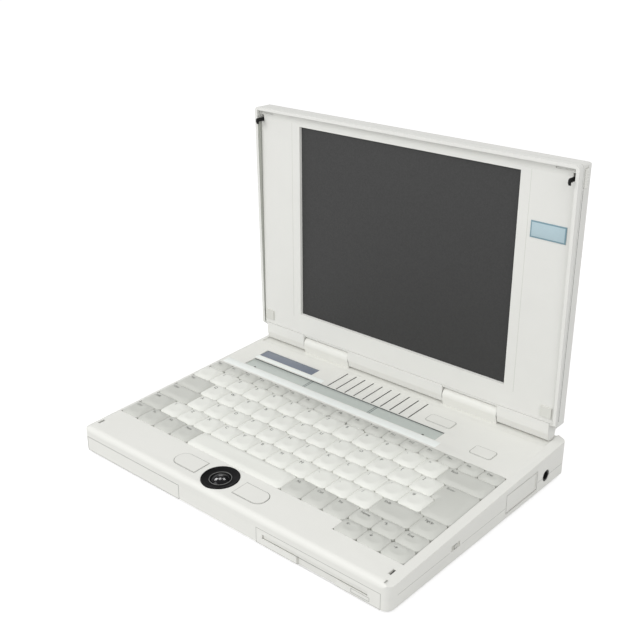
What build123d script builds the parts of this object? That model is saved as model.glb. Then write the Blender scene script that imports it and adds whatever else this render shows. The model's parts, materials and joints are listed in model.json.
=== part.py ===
from build123d import *
import os
from math import atan, cos, degrees, radians, sin, sqrt, tan

os.makedirs("parts", exist_ok=True)

# A notebook computer, open. +X is the user's right, +Y is away from the user, +Z is up.
# The origin is the middle of the footprint, on the surface that the feet rest on.

# Overall sizes of the base
WIDTH = 297.0
DEPTH = 212.0
FOOT_HEIGHT = 2.0
FRONT_HEIGHT = 20.8
DECK_RISE = 9.54
WALL = 2.2
CORNER_RADIUS = 6.0
REAR_RADIUS = 2.5
BOTTOM_EDGE = 1.2
NOSE_RADIUS = 4.5
BEVEL_RUN = 6.0
BEVEL_DROP = 2.4
SIDE_SEAM = 10.0
PANEL_TOP = 12.7

FRONT = -DEPTH / 2
REAR = DEPTH / 2
BOTTOM = FOOT_HEIGHT
DECK_ANGLE = degrees(atan(DECK_RISE / DEPTH))
SEAM_Z = BOTTOM + SIDE_SEAM
FLOOR_Z = BOTTOM + WALL
SIDE_X = WIDTH / 2
EPS = 1.0

# Clearances
FIT_GAP = 0.3
PANEL_GAP = 0.15
RUNNING = 0.05
CLOSED_GAP = 0.6

# Keyboard
KEY_PITCH = 19.0
KEY_UNITS = 15
TOP_ROW_KEYS = 17
TOP_ROW_DEPTH = 12.6
WELL_FRONT = 32.4
NOTCH_DEPTH = 10.7
KEY_GAP = 0.6
KEY_RISE = 2.0
CAP_HEIGHT = 4.4
CAP_TAPER = 22.0
DISH_DEPTH = 0.35
KEY_TRAVEL = 2.5
KEY_STOP_GAP = 0.7
STEM_SIZE = 4.0
PLATE_DROP = CAP_HEIGHT - KEY_RISE + KEY_TRAVEL + KEY_STOP_GAP
PLATE_THICK = 1.2
STEM_ENTRY = 0.4
WELL_WALL = 1.6
WELL_CLEARANCE = 0.5

WELL_WIDTH = KEY_UNITS * KEY_PITCH + 2 * (WELL_CLEARANCE - KEY_GAP / 2)
WELL_REAR = WELL_FRONT + 5 * KEY_PITCH + TOP_ROW_DEPTH
CURSOR_UNITS = 3
CURSOR_WIDTH = CURSOR_UNITS * KEY_PITCH
CURSOR_ROW = (KEY_PITCH + NOTCH_DEPTH) / 2

# Pointing device
BALL_RADIUS = 9.5
BALL_X = -13.1
BALL_S = 16.9
BALL_PROUD = 1.7
BALL_GAP = 0.3
RING_RADIUS = 14.0
RING_THICK = 2.0
RING_LIP = 0.5
RING_MOUTH = 7.3
RING_EDGE = 1.2
RING_BAND = 3.0
RING_DISH = 0.9
CUP_RADIUS = 12.5
ROLLER_RADIUS = 1.5
ROLLER_LENGTH = 11.0
CLICK_LENGTH = 25.5
CLICK_WIDTH = 14.8
CLICK_RADIUS = 6.8
CLICK_OFFSET = 31.9

# Buttons, windows and grille behind the keyboard
BUTTON_THICK = 3.4
BUTTON_PROUD = 0.3
STANDBY = (23.0, 10.4, 63.4, WELL_REAR + 34.5)
POWER = (17.8, 11.4, 112.2, WELL_REAR + 17.5)
BUTTON_CORNER = 2.4
STATUS = (60.0, 10.6, -93.4, WELL_REAR + 34.6)
STATUS_THICK = 2.6
STATUS_EDGE = 1.5
WINDOW_CORNER = 0.4
STRIP = (197.6, 12.6, -23.7, WELL_REAR + 16.5)
STRIP_RECESS = 0.9
STRIP_THICK = 0.6
SLOT_COUNT = 10
SLOT_STEP = 9.05
SLOT_LENGTH = 26.4
SLOT_WIDTH = 1.1
GRILLE_S = WELL_REAR + 36.8
SPEAKER_RADIUS = 15.0
SPEAKER_DEPTH = 6.0

# Front panels, battery and diskette drive
BATTERY_MARGIN = 4.8
DRIVE_MARGIN = 6.2
DRIVE_FRONT_WIDTH = 104.3
BATTERY_TO_CUP = 13.1
BATTERY_LEFT = -SIDE_X + BATTERY_MARGIN
DRIVE_RIGHT = SIDE_X - DRIVE_MARGIN
DRIVE_LEFT = DRIVE_RIGHT - DRIVE_FRONT_WIDTH
BATTERY_RIGHT = BALL_X - CUP_RADIUS - BATTERY_TO_CUP
PANEL_THICK = 3.0
BATTERY_DEPTH = 88.0
BATTERY_CORNER = 1.5
CONTACT_COUNT = 4
CONTACT_STEP = 6.0
CONTACT_FIRST = 12.0
CONTACT_SIZE = (2.0, 2.0, 3.0)
CONTACT_UP = 4.0
BAY_RIB = 1.6
DRIVE_WIDTH = 101.6
DRIVE_DEPTH = 102.0
DRIVE_HEIGHT = 10.4
DISK_WIDTH = 89.0
DISK_SLOT = 3.4
DISK_LEFT = DRIVE_LEFT + 5.4
DISK_Z = 7.5
DISK_BAY = 94.0
BAY_HEIGHT = 4.6
FLAP_THICK = 1.0
FLAP_PIN = 0.6
FLAP_PIN_END = 1.0
THUMB_LEFT = DISK_LEFT + 30.6
THUMB_RIGHT = DISK_LEFT + 64.2
THUMB_DEPTH = 1.8
EJECT_LEFT = DISK_LEFT + 76.2
EJECT_WIDTH = 14.0
EJECT_HEIGHT = 2.5
EJECT_LIFT = 0.4
EJECT_Z = WALL + EJECT_LIFT + EJECT_HEIGHT / 2
EJECT_LENGTH = 12.0

# Right side
DOOR_FRONT = DEPTH - 80.8
DOOR_LENGTH = 42.0
DOOR_BOTTOM = 4.4
DOOR_HEIGHT = 15.6
DOOR_THICK = 1.8
DOOR_BARREL = 1.4
DOOR_PIN = 0.6
DOOR_PIN_END = 1.2
DOOR_GRIP = (0.6, 1.4)
DOOR_GRIP_BACK = 2.0
POCKET_DEPTH = 4.0
PORT_PROUD = 0.5
MONITOR_FLANGE = (31.0, 12.4)
INLET_S = DEPTH - 26.3
INLET_Z = 10.5
INLET_RADIUS = 4.4
INLET_BORE = 3.1
INLET_PIN = 1.0
INLET_LENGTH = 12.0
INLET_SUNK = 0.4
INLET_FLOOR = 2.0
INLET_BLOCK = 4.0
INLET_PIN_BACK = 1.5
CONTRAST_S = 70.4
CONTRAST_Z = 11.7
CONTRAST_KNOB = (3.4, 3.6)
CONTRAST_RECESS = 1.2
CONTRAST_TRAVEL = 3.0
RIB_WIDTH = 0.4

# Parts inside and behind
BOARD_THICK = 1.6
BOARD_LIFT = 3.0
BOARD_BOX = (-66.0, SIDE_X - 20.5, DEPTH - 102.0, DEPTH - 20.0)
CHIP_HEIGHT = 2.0
CHIPS = ((36.0, 25.0, 30.0), (86.0, 30.0, 24.0), (131.0, 22.0, 20.0), (166.0, 40.0, 16.0))
DISK_DRIVE_SIZE = (70.0, 100.0, 10.0)
DISK_DRIVE_CORNER = (-SIDE_X + 5.5, 97.0)
PARALLEL = (47.0, 11.6, 18.0)
SERIAL = (25.0, 11.6, 100.0)
PORT_DEPTH = 9.0
SHROUD_SIDE = 4.0
SHROUD_EDGE = 1.8
SHROUD_SLOPE = 1.6
SHROUD_WALL = 0.8
SOCKET_DEPTH = 5.0
PORT_Z = 11.0
SCREW_SIDE = 12.5
SCREW_BACK = 10.0
REAR_SCREWS = [(SCREW_SIDE - SIDE_X, DEPTH - SCREW_BACK), (SIDE_X - SCREW_SIDE, DEPTH - SCREW_BACK)]
SCREW_SPOTS = REAR_SCREWS + [(-32.0, 6.0), (32.0, 6.0)]
SCREW_RADIUS = 1.2
SCREW_HEAD = 2.4
SCREW_HEAD_DEPTH = 1.4
BOSS_SIZE = 6.0
FOOT_SIZE = (18.0, 8.0)
FOOT_SIDE_REAR = SIDE_X - 14.5
FOOT_SIDE_FRONT = SIDE_X - 24.5
FOOT_REAR = DEPTH - SCREW_BACK
FOOT_FRONT = 16.0
REAR_FEET = [(-FOOT_SIDE_REAR, FOOT_REAR), (FOOT_SIDE_REAR, FOOT_REAR)]
FRONT_FEET = [(-FOOT_SIDE_FRONT, FOOT_FRONT), (FOOT_SIDE_FRONT, FOOT_FRONT)]
FOOT_SPOTS = REAR_FEET + FRONT_FEET

# Hinge
BARREL_RADIUS = 6.0
HINGE_GAP = 0.66
HINGE_BACK = 8.8
BARREL_HALF = SIDE_X - 7.7
TROUGH_DEPTH = 1.2
TROUGH_FRONT = 11.7
BARREL_UNDER = BARREL_RADIUS + TROUGH_DEPTH
CREASE_RUN = 1.7
KNUCKLE_INNER = 47.6
KNUCKLE_OUTER = 97.4
KNUCKLE_GAP = 0.4
PIN_RADIUS = 2.5
PIN_SEAT = 6.0
SLEEVE_RADIUS = 4.2
LEAF_THICK = 1.6
LEAF_DROP = 9.0

# Lid
LID_MARGIN = 2.3
LID_WIDTH = WIDTH - 2 * LID_MARGIN
LID_HEIGHT = 191.8
LID_THICK = 13.9
LID_WALL = 2.4
LID_DROP = 8.4
CHIN_DROP = 4.5
CHIN_BACK = 4.0
RIM_WIDTH = 2.6
RIM_TOP = 4.5
RIM_BOTTOM = 1.0
LID_BACK_RADIUS = 4.5
LID_CORNER = 3.5
SIDE_BEVEL_RUN = 1.2
SIDE_BEVEL_DEPTH = 2.2
GROOVE_SIZE = 0.4
GROOVE_BACK = 1.6
COVE_HEIGHT = 6.5
COVE_DEPTH = 3.2
COVE_SAG = 0.5
RECESS_SIZE = (14.1, 1.6, 2.4)
RECESS_X = LID_WIDTH / 2 - 11.4
RECESS_UP = 188.0
BEZEL_THICK = 2.4
SCREEN_WIDTH = 202.4
SCREEN_HEIGHT = 162.4
SCREEN_UP = 99.5
SCREEN_BEVEL = 30.0
PANEL_SIZE = (228.0, 6.5, 176.0)
INVERTER_SIZE = (16.0, 5.0, 150.0)
INVERTER_X = LID_WIDTH / 2 - 18.2
INVERTER_DROP = 8.0
PAD_SIZE = (9.0, 1.2, 8.6)
PAD_X = LID_WIDTH / 2 - 8.8
PAD_UP = 8.6
BADGE_SIZE = (27.2, 0.5, 12.0)
BADGE_X = LID_WIDTH / 2 - 20.4
BADGE_UP = 141.8

# Catches
HOOK_X = SIDE_X - 7.3
HOOK_UP = 181.6
HOOK_THICK = 1.6
HOOK_SHANK = 2.8
HOOK_REACH = 7.9
HOOK_BARB = 1.9
HOOK_RAMP = 1.0
HOOK_TAIL = 6.0
LIP_THICK = 0.8
CATCH_TRAVEL = HOOK_BARB + FIT_GAP
SLIDER_SIZE = (1.0, 4.4, 13.0)
SLIDER_WELL = 0.5
TONGUE = (2.0, 3.4)
SLIDER_RIBS = 5
SLIDER_RIB = (0.3, 0.8)


def deck_z(y):
    """Height of the deck surface at a place along the depth."""
    return BOTTOM + FRONT_HEIGHT + (y - FRONT) * DECK_RISE / DEPTH


HINGE_Y = REAR - HINGE_BACK
HINGE_Z = deck_z(HINGE_Y) + BARREL_RADIUS + HINGE_GAP
LID_BOTTOM = HINGE_Z + LID_DROP
LID_TOP = LID_BOTTOM + LID_HEIGHT
RIM_LEAN = degrees(atan((RIM_TOP - RIM_BOTTOM) / LID_HEIGHT))
AXIS_OVER_DECK = (HINGE_Z - deck_z(HINGE_Y)) * cos(radians(DECK_ANGLE))
RIM_FOOT_Y = HINGE_Y - (AXIS_OVER_DECK - CLOSED_GAP + LID_DROP * sin(radians(RIM_LEAN))) / cos(radians(RIM_LEAN))
BEZEL_Y = RIM_FOOT_Y + RIM_BOTTOM
LID_BACK = BEZEL_Y + LID_THICK
CLOSING_ANGLE = 90.0 + DECK_ANGLE - RIM_LEAN

# Frame of the deck: x to the right, y up the slope from the front edge, z square to the surface
DECK = Plane(
    origin=(0, FRONT, BOTTOM + FRONT_HEIGHT),
    x_dir=(1, 0, 0),
    z_dir=(0, -sin(radians(DECK_ANGLE)), cos(radians(DECK_ANGLE))),
)


def span_box(low, high):
    """Box between two opposite corners."""
    size = [b - a for a, b in zip(low, high)]
    middle = [(a + b) / 2 for a, b in zip(low, high)]
    return Pos(*middle) * Box(*size)


def deck_prism(sketch, top, bottom):
    """Sketch in deck coordinates turned into a prism between two heights over the deck."""
    return DECK.location * (Pos(0, 0, bottom) * extrude(sketch, top - bottom))


def deck_pad(place, corner, grow=0.0):
    """Rounded rectangle in deck coordinates from (length, width, x, distance up the slope)."""
    length, width, x, s = place
    return Pos(x, s) * RectangleRounded(length + 2 * grow, width + 2 * grow, corner + grow)


def rod_x(radius, low, high, y, z):
    """Round rod along X."""
    return Pos((low + high) / 2, y, z) * (Rot(0, 90, 0) * Cylinder(radius, high - low))


def rod_y(radius, low, high, x, z):
    """Round rod along Y."""
    return Pos(x, (low + high) / 2, z) * (Rot(90, 0, 0) * Cylinder(radius, high - low))


def save(shape, name):
    """Write one sub-part under its node name."""
    shape.label = name
    export_step(shape, f"parts/{name}.step")


# Shells of the base
def case_plan(inset):
    """Outline of the base from above: round front corners, nearly square rear ones."""
    outline = Rectangle(WIDTH - 2 * inset, DEPTH - 2 * inset)
    outline = fillet(outline.vertices().sort_by(Axis.Y)[:2], CORNER_RADIUS - inset)
    if inset > 0:
        return outline
    return fillet(outline.vertices().sort_by(Axis.Y)[-2:], REAR_RADIUS)


def case_form(inset):
    """Closed wedge of the base, shrunk inwards by inset on every face."""
    front = FRONT + inset
    rear = REAR - inset
    low = BOTTOM + inset
    outline = Polyline(
        (front, low), (rear, low), (rear, deck_z(rear) - inset), (front, deck_z(front) - inset), close=True
    )
    side = make_face(Plane.YZ * outline)
    nose = side.vertices().sort_by(Axis.Y)[0:2].sort_by(Axis.Z)[-1]
    side = fillet(nose, NOSE_RADIUS - inset)
    wedge = extrude(side, WIDTH / 2, both=True)
    half = SIDE_X - inset
    top = deck_z(FRONT) - inset
    base = BOTTOM - DECK_RISE - 2 * EPS
    section = Polyline(
        (-half, base), (half, base), (half, top - BEVEL_DROP), (half - BEVEL_RUN, top),
        (-half + BEVEL_RUN, top), (-half, top - BEVEL_DROP), close=True,
    )
    rise = DECK_RISE / DEPTH
    start = Plane(origin=(0, FRONT - EPS, -rise * EPS), x_dir=(1, 0, 0), z_dir=(0, -1, 0))
    bevels = extrude(make_face(start * section), DEPTH + 2 * EPS, dir=(0, 1, rise))
    plan = extrude(case_plan(inset), deck_z(REAR) + EPS)
    form = wedge & bevels & plan
    if inset > 0:
        return form
    foot = form.faces().sort_by(Axis.Z)[0]
    return chamfer(foot.edges(), BOTTOM_EDGE)


def well_outline(grow):
    """Keyboard opening with the cursor-key notch at the front right, in deck coordinates."""
    half = WELL_WIDTH / 2 + grow
    front = WELL_FRONT - grow
    main = Pos(0, (front + WELL_REAR + grow) / 2) * Rectangle(2 * half, WELL_REAR + grow - front)
    left = WELL_WIDTH / 2 - CURSOR_WIDTH - grow
    notch = Pos((left + half) / 2, WELL_FRONT - NOTCH_DEPTH / 2) * Rectangle(half - left, NOTCH_DEPTH + 2 * grow)
    return main + notch


def front_cut(left, right, depth, grow=0.0):
    """Room for a panel in the front face."""
    high = (right + grow, FRONT + depth, BOTTOM + PANEL_TOP + grow)
    return span_box((left - grow, FRONT - EPS, BOTTOM - EPS), high)


def click_shape(side, grow=0.0):
    """Click button outline: round on the end away from the ball."""
    length = CLICK_LENGTH + 2 * grow
    width = CLICK_WIDTH + 2 * grow
    outline = RectangleRounded(length, width, CLICK_RADIUS + grow)
    square = Pos(-side * length / 4, 0) * Rectangle(length / 2, width)
    return Pos(BALL_X + side * CLICK_OFFSET, BALL_S) * (outline + square)


def boss(x, s, low, high):
    """Square pillar between two heights."""
    return Pos(x, FRONT + s, (low + high) / 2) * Box(BOSS_SIZE, BOSS_SIZE, high - low)


def screw_hole(x, s, radius, low, high):
    """Straight hole along a screw."""
    return Pos(x, FRONT + s, (low + high) / 2) * Cylinder(radius, high - low)


def hook_drop():
    """Distance from the bezel's face to the deck at the hooks when the lid is shut."""
    return CLOSED_GAP + RIM_BOTTOM + (RIM_TOP - RIM_BOTTOM) * HOOK_UP / LID_HEIGHT


def shut_spot(up, ahead):
    """Distance up the slope of the deck where a point of the lid lies when the lid is shut."""
    turn = radians(CLOSING_ANGLE)
    y = BEZEL_Y - ahead - HINGE_Y
    return (HINGE_Y + y * cos(turn) - (LID_DROP + up) * sin(turn) - FRONT) / cos(radians(DECK_ANGLE))


def catch_slot():
    """Two slots in the deck for the hooks, each with room for the barb under its rear lip."""
    shank = shut_spot(HOOK_UP, hook_drop())
    front = shank - HOOK_SHANK / 2 - CATCH_TRAVEL - FIT_GAP
    lip = shank + HOOK_SHANK / 2 + FIT_GAP
    rear = lip + HOOK_BARB + FIT_GAP
    width = HOOK_THICK + 2 * FIT_GAP
    cut = Part()
    for side in (-1, 1):
        mouth = Pos(side * HOOK_X, (front + lip) / 2) * Rectangle(width, lip - front)
        under = Pos(side * HOOK_X, (front + rear) / 2) * Rectangle(width, rear - front)
        cut += deck_prism(mouth, EPS, -LIP_THICK - EPS)
        cut += deck_prism(under, -LIP_THICK, -WALL - BEVEL_DROP - EPS)
    return cut


def speaker_slots():
    """Row of narrow sound slots across the middle of the rear deck."""
    first = -SLOT_STEP * (SLOT_COUNT - 1) / 2
    slot = Rectangle(SLOT_WIDTH, SLOT_LENGTH)
    slots = [Pos(first + i * SLOT_STEP, GRILLE_S) * slot for i in range(SLOT_COUNT)]
    return deck_prism(Sketch() + slots, EPS, -WALL - EPS)


def side_pocket():
    """Recess in the right side, open to the connector behind the door."""
    low = (SIDE_X - POCKET_DEPTH, FRONT + DOOR_FRONT, BOTTOM + DOOR_BOTTOM)
    high = (SIDE_X + EPS, FRONT + DOOR_FRONT + DOOR_LENGTH, BOTTOM + DOOR_BOTTOM + DOOR_HEIGHT)
    return span_box(low, high)


def hinge_trough():
    """Shallow step along the rear of the deck that the hinge barrels lie in."""
    front = (HINGE_Y - FRONT) / cos(radians(DECK_ANGLE)) - TROUGH_FRONT
    floor = Rectangle(2 * (BARREL_HALF + EPS), DEPTH - front + 2 * EPS, align=(Align.CENTER, Align.MIN))
    return deck_prism(Pos(0, front) * floor, EPS, -TROUGH_DEPTH)


def contrast_recess():
    """Shallow track for the small slider on the right side."""
    length, height = CONTRAST_KNOB
    track = Box(2 * CONTRAST_RECESS, length + 2 * (CONTRAST_TRAVEL + FIT_GAP), height + 2 * FIT_GAP)
    return Pos(SIDE_X, FRONT + CONTRAST_S, BOTTOM + CONTRAST_Z) * track


def port_hole(port):
    """Opening in the rear wall for a connector (width, height, x)."""
    width, height, x = port
    return span_box(
        (x - width / 2 - PANEL_GAP, REAR - WALL - EPS, BOTTOM + PORT_Z - height / 2 - PANEL_GAP),
        (x + width / 2 + PANEL_GAP, REAR + EPS, BOTTOM + PORT_Z + height / 2 + PANEL_GAP),
    )


def leaf_slots(grow):
    """Slots in the deck under the hinge covers for the bracket leaves."""
    cut = Part()
    for side in (-1, 1):
        middle = side * (KNUCKLE_INNER + KNUCKLE_OUTER) / 2
        length = leaf_length() + 2 * grow
        cut += span_box(
            (middle - length / 2, HINGE_Y - LEAF_THICK / 2 - grow, HINGE_Z - LEAF_DROP - 2 * BARREL_RADIUS),
            (middle + length / 2, HINGE_Y + LEAF_THICK / 2 + grow, HINGE_Z - BARREL_RADIUS / 2),
        )
    return cut


def leaf_length():
    """Length of a hinge bracket along the hinge."""
    return KNUCKLE_OUTER - KNUCKLE_INNER - 4 * BAY_RIB


def shell():
    """Whole hollow base before it is parted."""
    return case_form(0.0) - case_form(WALL)


def lower_zone():
    """Space that belongs to the lower case: under the seam, and the middle front panel."""
    zone = span_box((-SIDE_X - EPS, FRONT - EPS, BOTTOM - EPS), (SIDE_X + EPS, REAR + EPS, SEAM_Z))
    middle = span_box((BATTERY_RIGHT, FRONT - EPS, BOTTOM - EPS), (DRIVE_LEFT, FRONT + WALL, BOTTOM + PANEL_TOP))
    return zone + middle


def shared_cuts():
    """Openings that pass through both case halves."""
    inlet = rod_x(INLET_RADIUS + PANEL_GAP, SIDE_X - WALL - EPS, SIDE_X + EPS, FRONT + INLET_S, BOTTOM + INLET_Z)
    return [
        front_cut(BATTERY_LEFT, BATTERY_RIGHT, PANEL_THICK + PANEL_GAP, 0.0),
        front_cut(DRIVE_LEFT, DRIVE_RIGHT, PANEL_THICK + PANEL_GAP, 0.0),
        side_pocket(),
        door_pin(DOOR_PIN + RUNNING, DOOR_PIN_END + PANEL_GAP),
        contrast_recess(),
        inlet,
        port_hole(PARALLEL),
        port_hole(SERIAL),
    ]


def pocket_walls(low, high):
    """Moulded box behind the side door, between two heights."""
    outer = span_box(
        (SIDE_X - POCKET_DEPTH - BAY_RIB, FRONT + DOOR_FRONT - BAY_RIB, low),
        (SIDE_X - WALL / 2, FRONT + DOOR_FRONT + DOOR_LENGTH + BAY_RIB, high),
    )
    flange, height = MONITOR_FLANGE
    middle = FRONT + DOOR_FRONT + DOOR_LENGTH / 2
    z = BOTTOM + DOOR_BOTTOM + DOOR_HEIGHT / 2
    window = span_box(
        (SIDE_X - POCKET_DEPTH - 2 * BAY_RIB, middle - flange / 2 - PANEL_GAP, z - height / 2 - PANEL_GAP),
        (SIDE_X - POCKET_DEPTH + EPS, middle + flange / 2 + PANEL_GAP, z + height / 2 + PANEL_GAP),
    )
    return outer - window


def bottom_case(hollow, zone):
    """Lower case with bay walls, board posts and screw pillars."""
    case = hollow & zone
    bay_top = BOTTOM + PANEL_TOP - FIT_GAP
    bay_rear = FRONT + PANEL_THICK + BATTERY_DEPTH + FIT_GAP
    rib_x = BATTERY_RIGHT + FIT_GAP
    case += span_box((rib_x, FRONT + WALL, FLOOR_Z), (rib_x + BAY_RIB, bay_rear, bay_top))
    case += span_box((-SIDE_X + WALL, bay_rear, FLOOR_Z), (rib_x + BAY_RIB, bay_rear + BAY_RIB, bay_top))
    drive_x = DRIVE_LEFT - FIT_GAP
    drive_rear = FRONT + PANEL_THICK + DRIVE_DEPTH
    case += span_box((drive_x - BAY_RIB, FRONT + WALL, FLOOR_Z), (drive_x, drive_rear, bay_top))
    low_x, high_x, low_s, high_s = BOARD_BOX
    for x in (low_x + BOSS_SIZE, high_x - BOSS_SIZE):
        for s in (low_s + BOSS_SIZE, high_s - BOSS_SIZE):
            case += boss(x, s, FLOOR_Z, FLOOR_Z + BOARD_LIFT)
    case += pocket_walls(FLOOR_Z, SEAM_Z)
    for x, s in SCREW_SPOTS:
        case += boss(x, s, FLOOR_Z, SEAM_Z)
    for cut in shared_cuts():
        case -= cut
    for x, s in SCREW_SPOTS:
        case -= screw_hole(x, s, SCREW_RADIUS + RUNNING, BOTTOM - EPS, SEAM_Z + EPS)
        case -= screw_hole(x, s, SCREW_HEAD + RUNNING, BOTTOM - EPS, BOTTOM + SCREW_HEAD_DEPTH)
    return case


def top_case(hollow, zone):
    """Upper case: deck, palm rest, keyboard well and rear shelf."""
    case = hollow - zone
    case += deck_prism(well_outline(WELL_WALL), -WALL / 2, -PLATE_DROP - PLATE_THICK)
    case += pocket_walls(SEAM_Z, BOTTOM + DOOR_BOTTOM + DOOR_HEIGHT + BAY_RIB)
    for x, s in SCREW_SPOTS:
        case += boss(x, s, SEAM_Z, deck_z(FRONT + s) - WALL / 2)
    case -= deck_prism(well_outline(0.0), EPS, -PLATE_DROP - PLATE_THICK - EPS)
    case -= hinge_trough()
    case -= deck_prism(deck_pad(STATUS, WINDOW_CORNER, PANEL_GAP), EPS, -WALL - EPS)
    case -= deck_prism(deck_pad(STRIP, WINDOW_CORNER, PANEL_GAP), EPS, -STRIP_RECESS - STRIP_THICK)
    case -= deck_prism(deck_pad(STANDBY, BUTTON_CORNER, FIT_GAP), EPS, -WALL - EPS)
    case -= deck_prism(deck_pad(POWER, BUTTON_CORNER, FIT_GAP), EPS, -WALL - EPS)
    case -= deck_prism(Pos(BALL_X, BALL_S) * Circle(RING_RADIUS + PANEL_GAP), EPS, -WALL - EPS)
    for side in (-1, 1):
        case -= deck_prism(click_shape(side, FIT_GAP), EPS, -WALL - EPS)
    case -= speaker_slots()
    case -= catch_slot()
    case -= leaf_slots(PANEL_GAP)
    for cut in shared_cuts():
        case -= cut
    for x, s in SCREW_SPOTS:
        case -= screw_hole(x, s, SCREW_RADIUS + RUNNING, SEAM_Z - EPS, screw_top(s))
    return case


def screw_top(s):
    """Height where a case screw ends, inside its pillar."""
    return deck_z(FRONT + s) - 2 * WALL


# Keys
def cap(length, width):
    """One keycap: tapered body, dished top and square stem, its skirt centre at the origin of the deck."""
    return cap_body(Rectangle(length - KEY_GAP, width - KEY_GAP)) + stem()


def cap_body(outline):
    """Tapered body over an outline, its top hollowed by a shallow cylinder."""
    body = Pos(0, 0, KEY_RISE - CAP_HEIGHT) * extrude(outline, CAP_HEIGHT, taper=CAP_TAPER)
    size = outline.bounding_box().size
    half = size.X / 2 - CAP_HEIGHT * tan(radians(CAP_TAPER))
    radius = (half * half + DISH_DEPTH * DISH_DEPTH) / (2 * DISH_DEPTH)
    dish = Pos(0, 0, KEY_RISE + radius - DISH_DEPTH) * (Rot(90, 0, 0) * Cylinder(radius, 2 * size.Y))
    return body - dish


def stem():
    """Square plunger under a cap, down into its hole in the support plate."""
    top = KEY_RISE - CAP_HEIGHT + EPS
    low = -PLATE_DROP - STEM_ENTRY
    return Pos(0, 0, (top + low) / 2) * Box(STEM_SIZE, STEM_SIZE, top - low)


def key_cells():
    """Every key as node name -> list of (x, distance up the slope, length, width)."""
    left = -KEY_UNITS * KEY_PITCH / 2
    cells = {}

    def row(start_units, s, names_units, width=KEY_PITCH):
        x = left + start_units * KEY_PITCH
        for name, units in names_units:
            length = units * KEY_PITCH
            cells.setdefault(name, []).append((x + length / 2, s, length, width))
            x += length

    rows = [WELL_FRONT + KEY_PITCH * (i + 0.5) for i in range(5)]
    row(0, rows[4], [("number_keys", 1)] * 13 + [("backspace_key", 2)])
    row(0, rows[3], [("tab_key", 1.5)] + [("upper_letter_keys", 1)] * 12)
    row(0, rows[2], [("caps_key", 1.75)] + [("home_letter_keys", 1)] * 12)
    row(0, rows[1], [("left_shift_key", 1.25)] + [("lower_letter_keys", 1)] * 11
        + [("right_shift_key", 1.75), ("right_modifier_keys", 1)])
    row(0, rows[0], [("left_modifier_keys", 1)] * 4 + [("space_bar", 5)] + [("right_modifier_keys", 1)] * 3)
    cursor = KEY_UNITS - CURSOR_UNITS
    for i in range(2):
        s = WELL_FRONT - NOTCH_DEPTH + CURSOR_ROW * (i + 0.5)
        row(cursor, s, [("cursor_keys", 1)] * CURSOR_UNITS, CURSOR_ROW)
    top = TOP_ROW_KEYS * [("function_keys", KEY_UNITS / TOP_ROW_KEYS)]
    row(0, WELL_REAR - TOP_ROW_DEPTH / 2, top, TOP_ROW_DEPTH)
    return cells


def enter_outline():
    """Outline of the tall Enter key: wide behind, narrower in front, centred on its two rows."""
    half = 1.5 * KEY_PITCH / 2 - KEY_GAP / 2
    tall = KEY_PITCH - KEY_GAP / 2
    step = 0.25 * KEY_PITCH
    return Rectangle(2 * half, 2 * tall) - Pos(-half, -tall) * Rectangle(2 * step, 2 * tall - KEY_GAP / 2)


def enter_spot():
    """Middle of the tall Enter key."""
    return (KEY_UNITS / 2 - 0.75) * KEY_PITCH, WELL_FRONT + 3 * KEY_PITCH


def key_group(cells):
    """Solids of one group of keys, set on the sloping deck."""
    return DECK.location * Compound([Pos(x, s, 0) * cap(length, width) for x, s, length, width in cells])


def enter_key():
    """Tall Enter key on one stem."""
    x, s = enter_spot()
    return DECK.location * (Pos(x, s, 0) * (cap_body(enter_outline()) + stem()))


def keyboard_plate():
    """Steel plate under the keys with a square guide hole for every stem."""
    sketch = well_outline(-PANEL_GAP)
    hole = Rectangle(STEM_SIZE + 2 * FIT_GAP, STEM_SIZE + 2 * FIT_GAP)
    spots = [(x, s) for group in key_cells().values() for x, s, length, width in group]
    spots.append(enter_spot())
    sketch -= Sketch() + [Pos(x, s) * hole for x, s in spots]
    return deck_prism(sketch, -PLATE_DROP, -PLATE_DROP - PLATE_THICK)


# Pointing device
def ball_centre():
    """Centre of the ball in the frame of the whole object."""
    return DECK.location * Pos(BALL_X, BALL_S, BALL_PROUD - BALL_RADIUS)


def track_ball():
    """Polished ball."""
    return ball_centre() * Sphere(BALL_RADIUS)


def trackball_ring():
    """Twist-out ring that holds the ball: raised lip outside, dished towards the ball."""
    inner = RING_MOUTH + RING_EDGE
    half = RING_EDGE / 2
    section = Polyline(
        (RING_MOUTH, half - RING_THICK), (inner, -RING_DISH), (RING_RADIUS - RING_BAND, -RING_LIP),
        (RING_RADIUS - RING_EDGE, RING_LIP), (RING_RADIUS, 0.0), (RING_RADIUS, -RING_THICK),
        (inner, -RING_THICK - half), close=True,
    )
    ring = revolve(make_face(Plane.XZ * section), Axis.Z)
    return DECK.location * (Pos(BALL_X, BALL_S, 0) * ring)


def roller_gap():
    """Distance from the ball's centre to a roller's axis."""
    return BALL_RADIUS + ROLLER_RADIUS + RUNNING


def trackball_cup():
    """Moulded cup under the ball with windows for the two encoder rollers."""
    low = FLOOR_Z
    centre = ball_centre().position
    top = deck_z(FRONT + BALL_S) - RING_THICK - RING_EDGE - RUNNING
    cup = Pos(centre.X, centre.Y, (low + top) / 2) * Cylinder(CUP_RADIUS, top - low)
    cup -= ball_centre() * Sphere(BALL_RADIUS + BALL_GAP)
    window = 2 * (ROLLER_RADIUS + FIT_GAP)
    reach = roller_gap()
    length = ROLLER_LENGTH + 2 * FIT_GAP
    depth = 2 * CUP_RADIUS
    cup -= Pos(centre.X, centre.Y + reach + depth / 2 - window / 2, centre.Z) * Box(length, depth, window)
    cup -= Pos(centre.X + reach + depth / 2 - window / 2, centre.Y, centre.Z) * Box(depth, length, window)
    return cup


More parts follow.
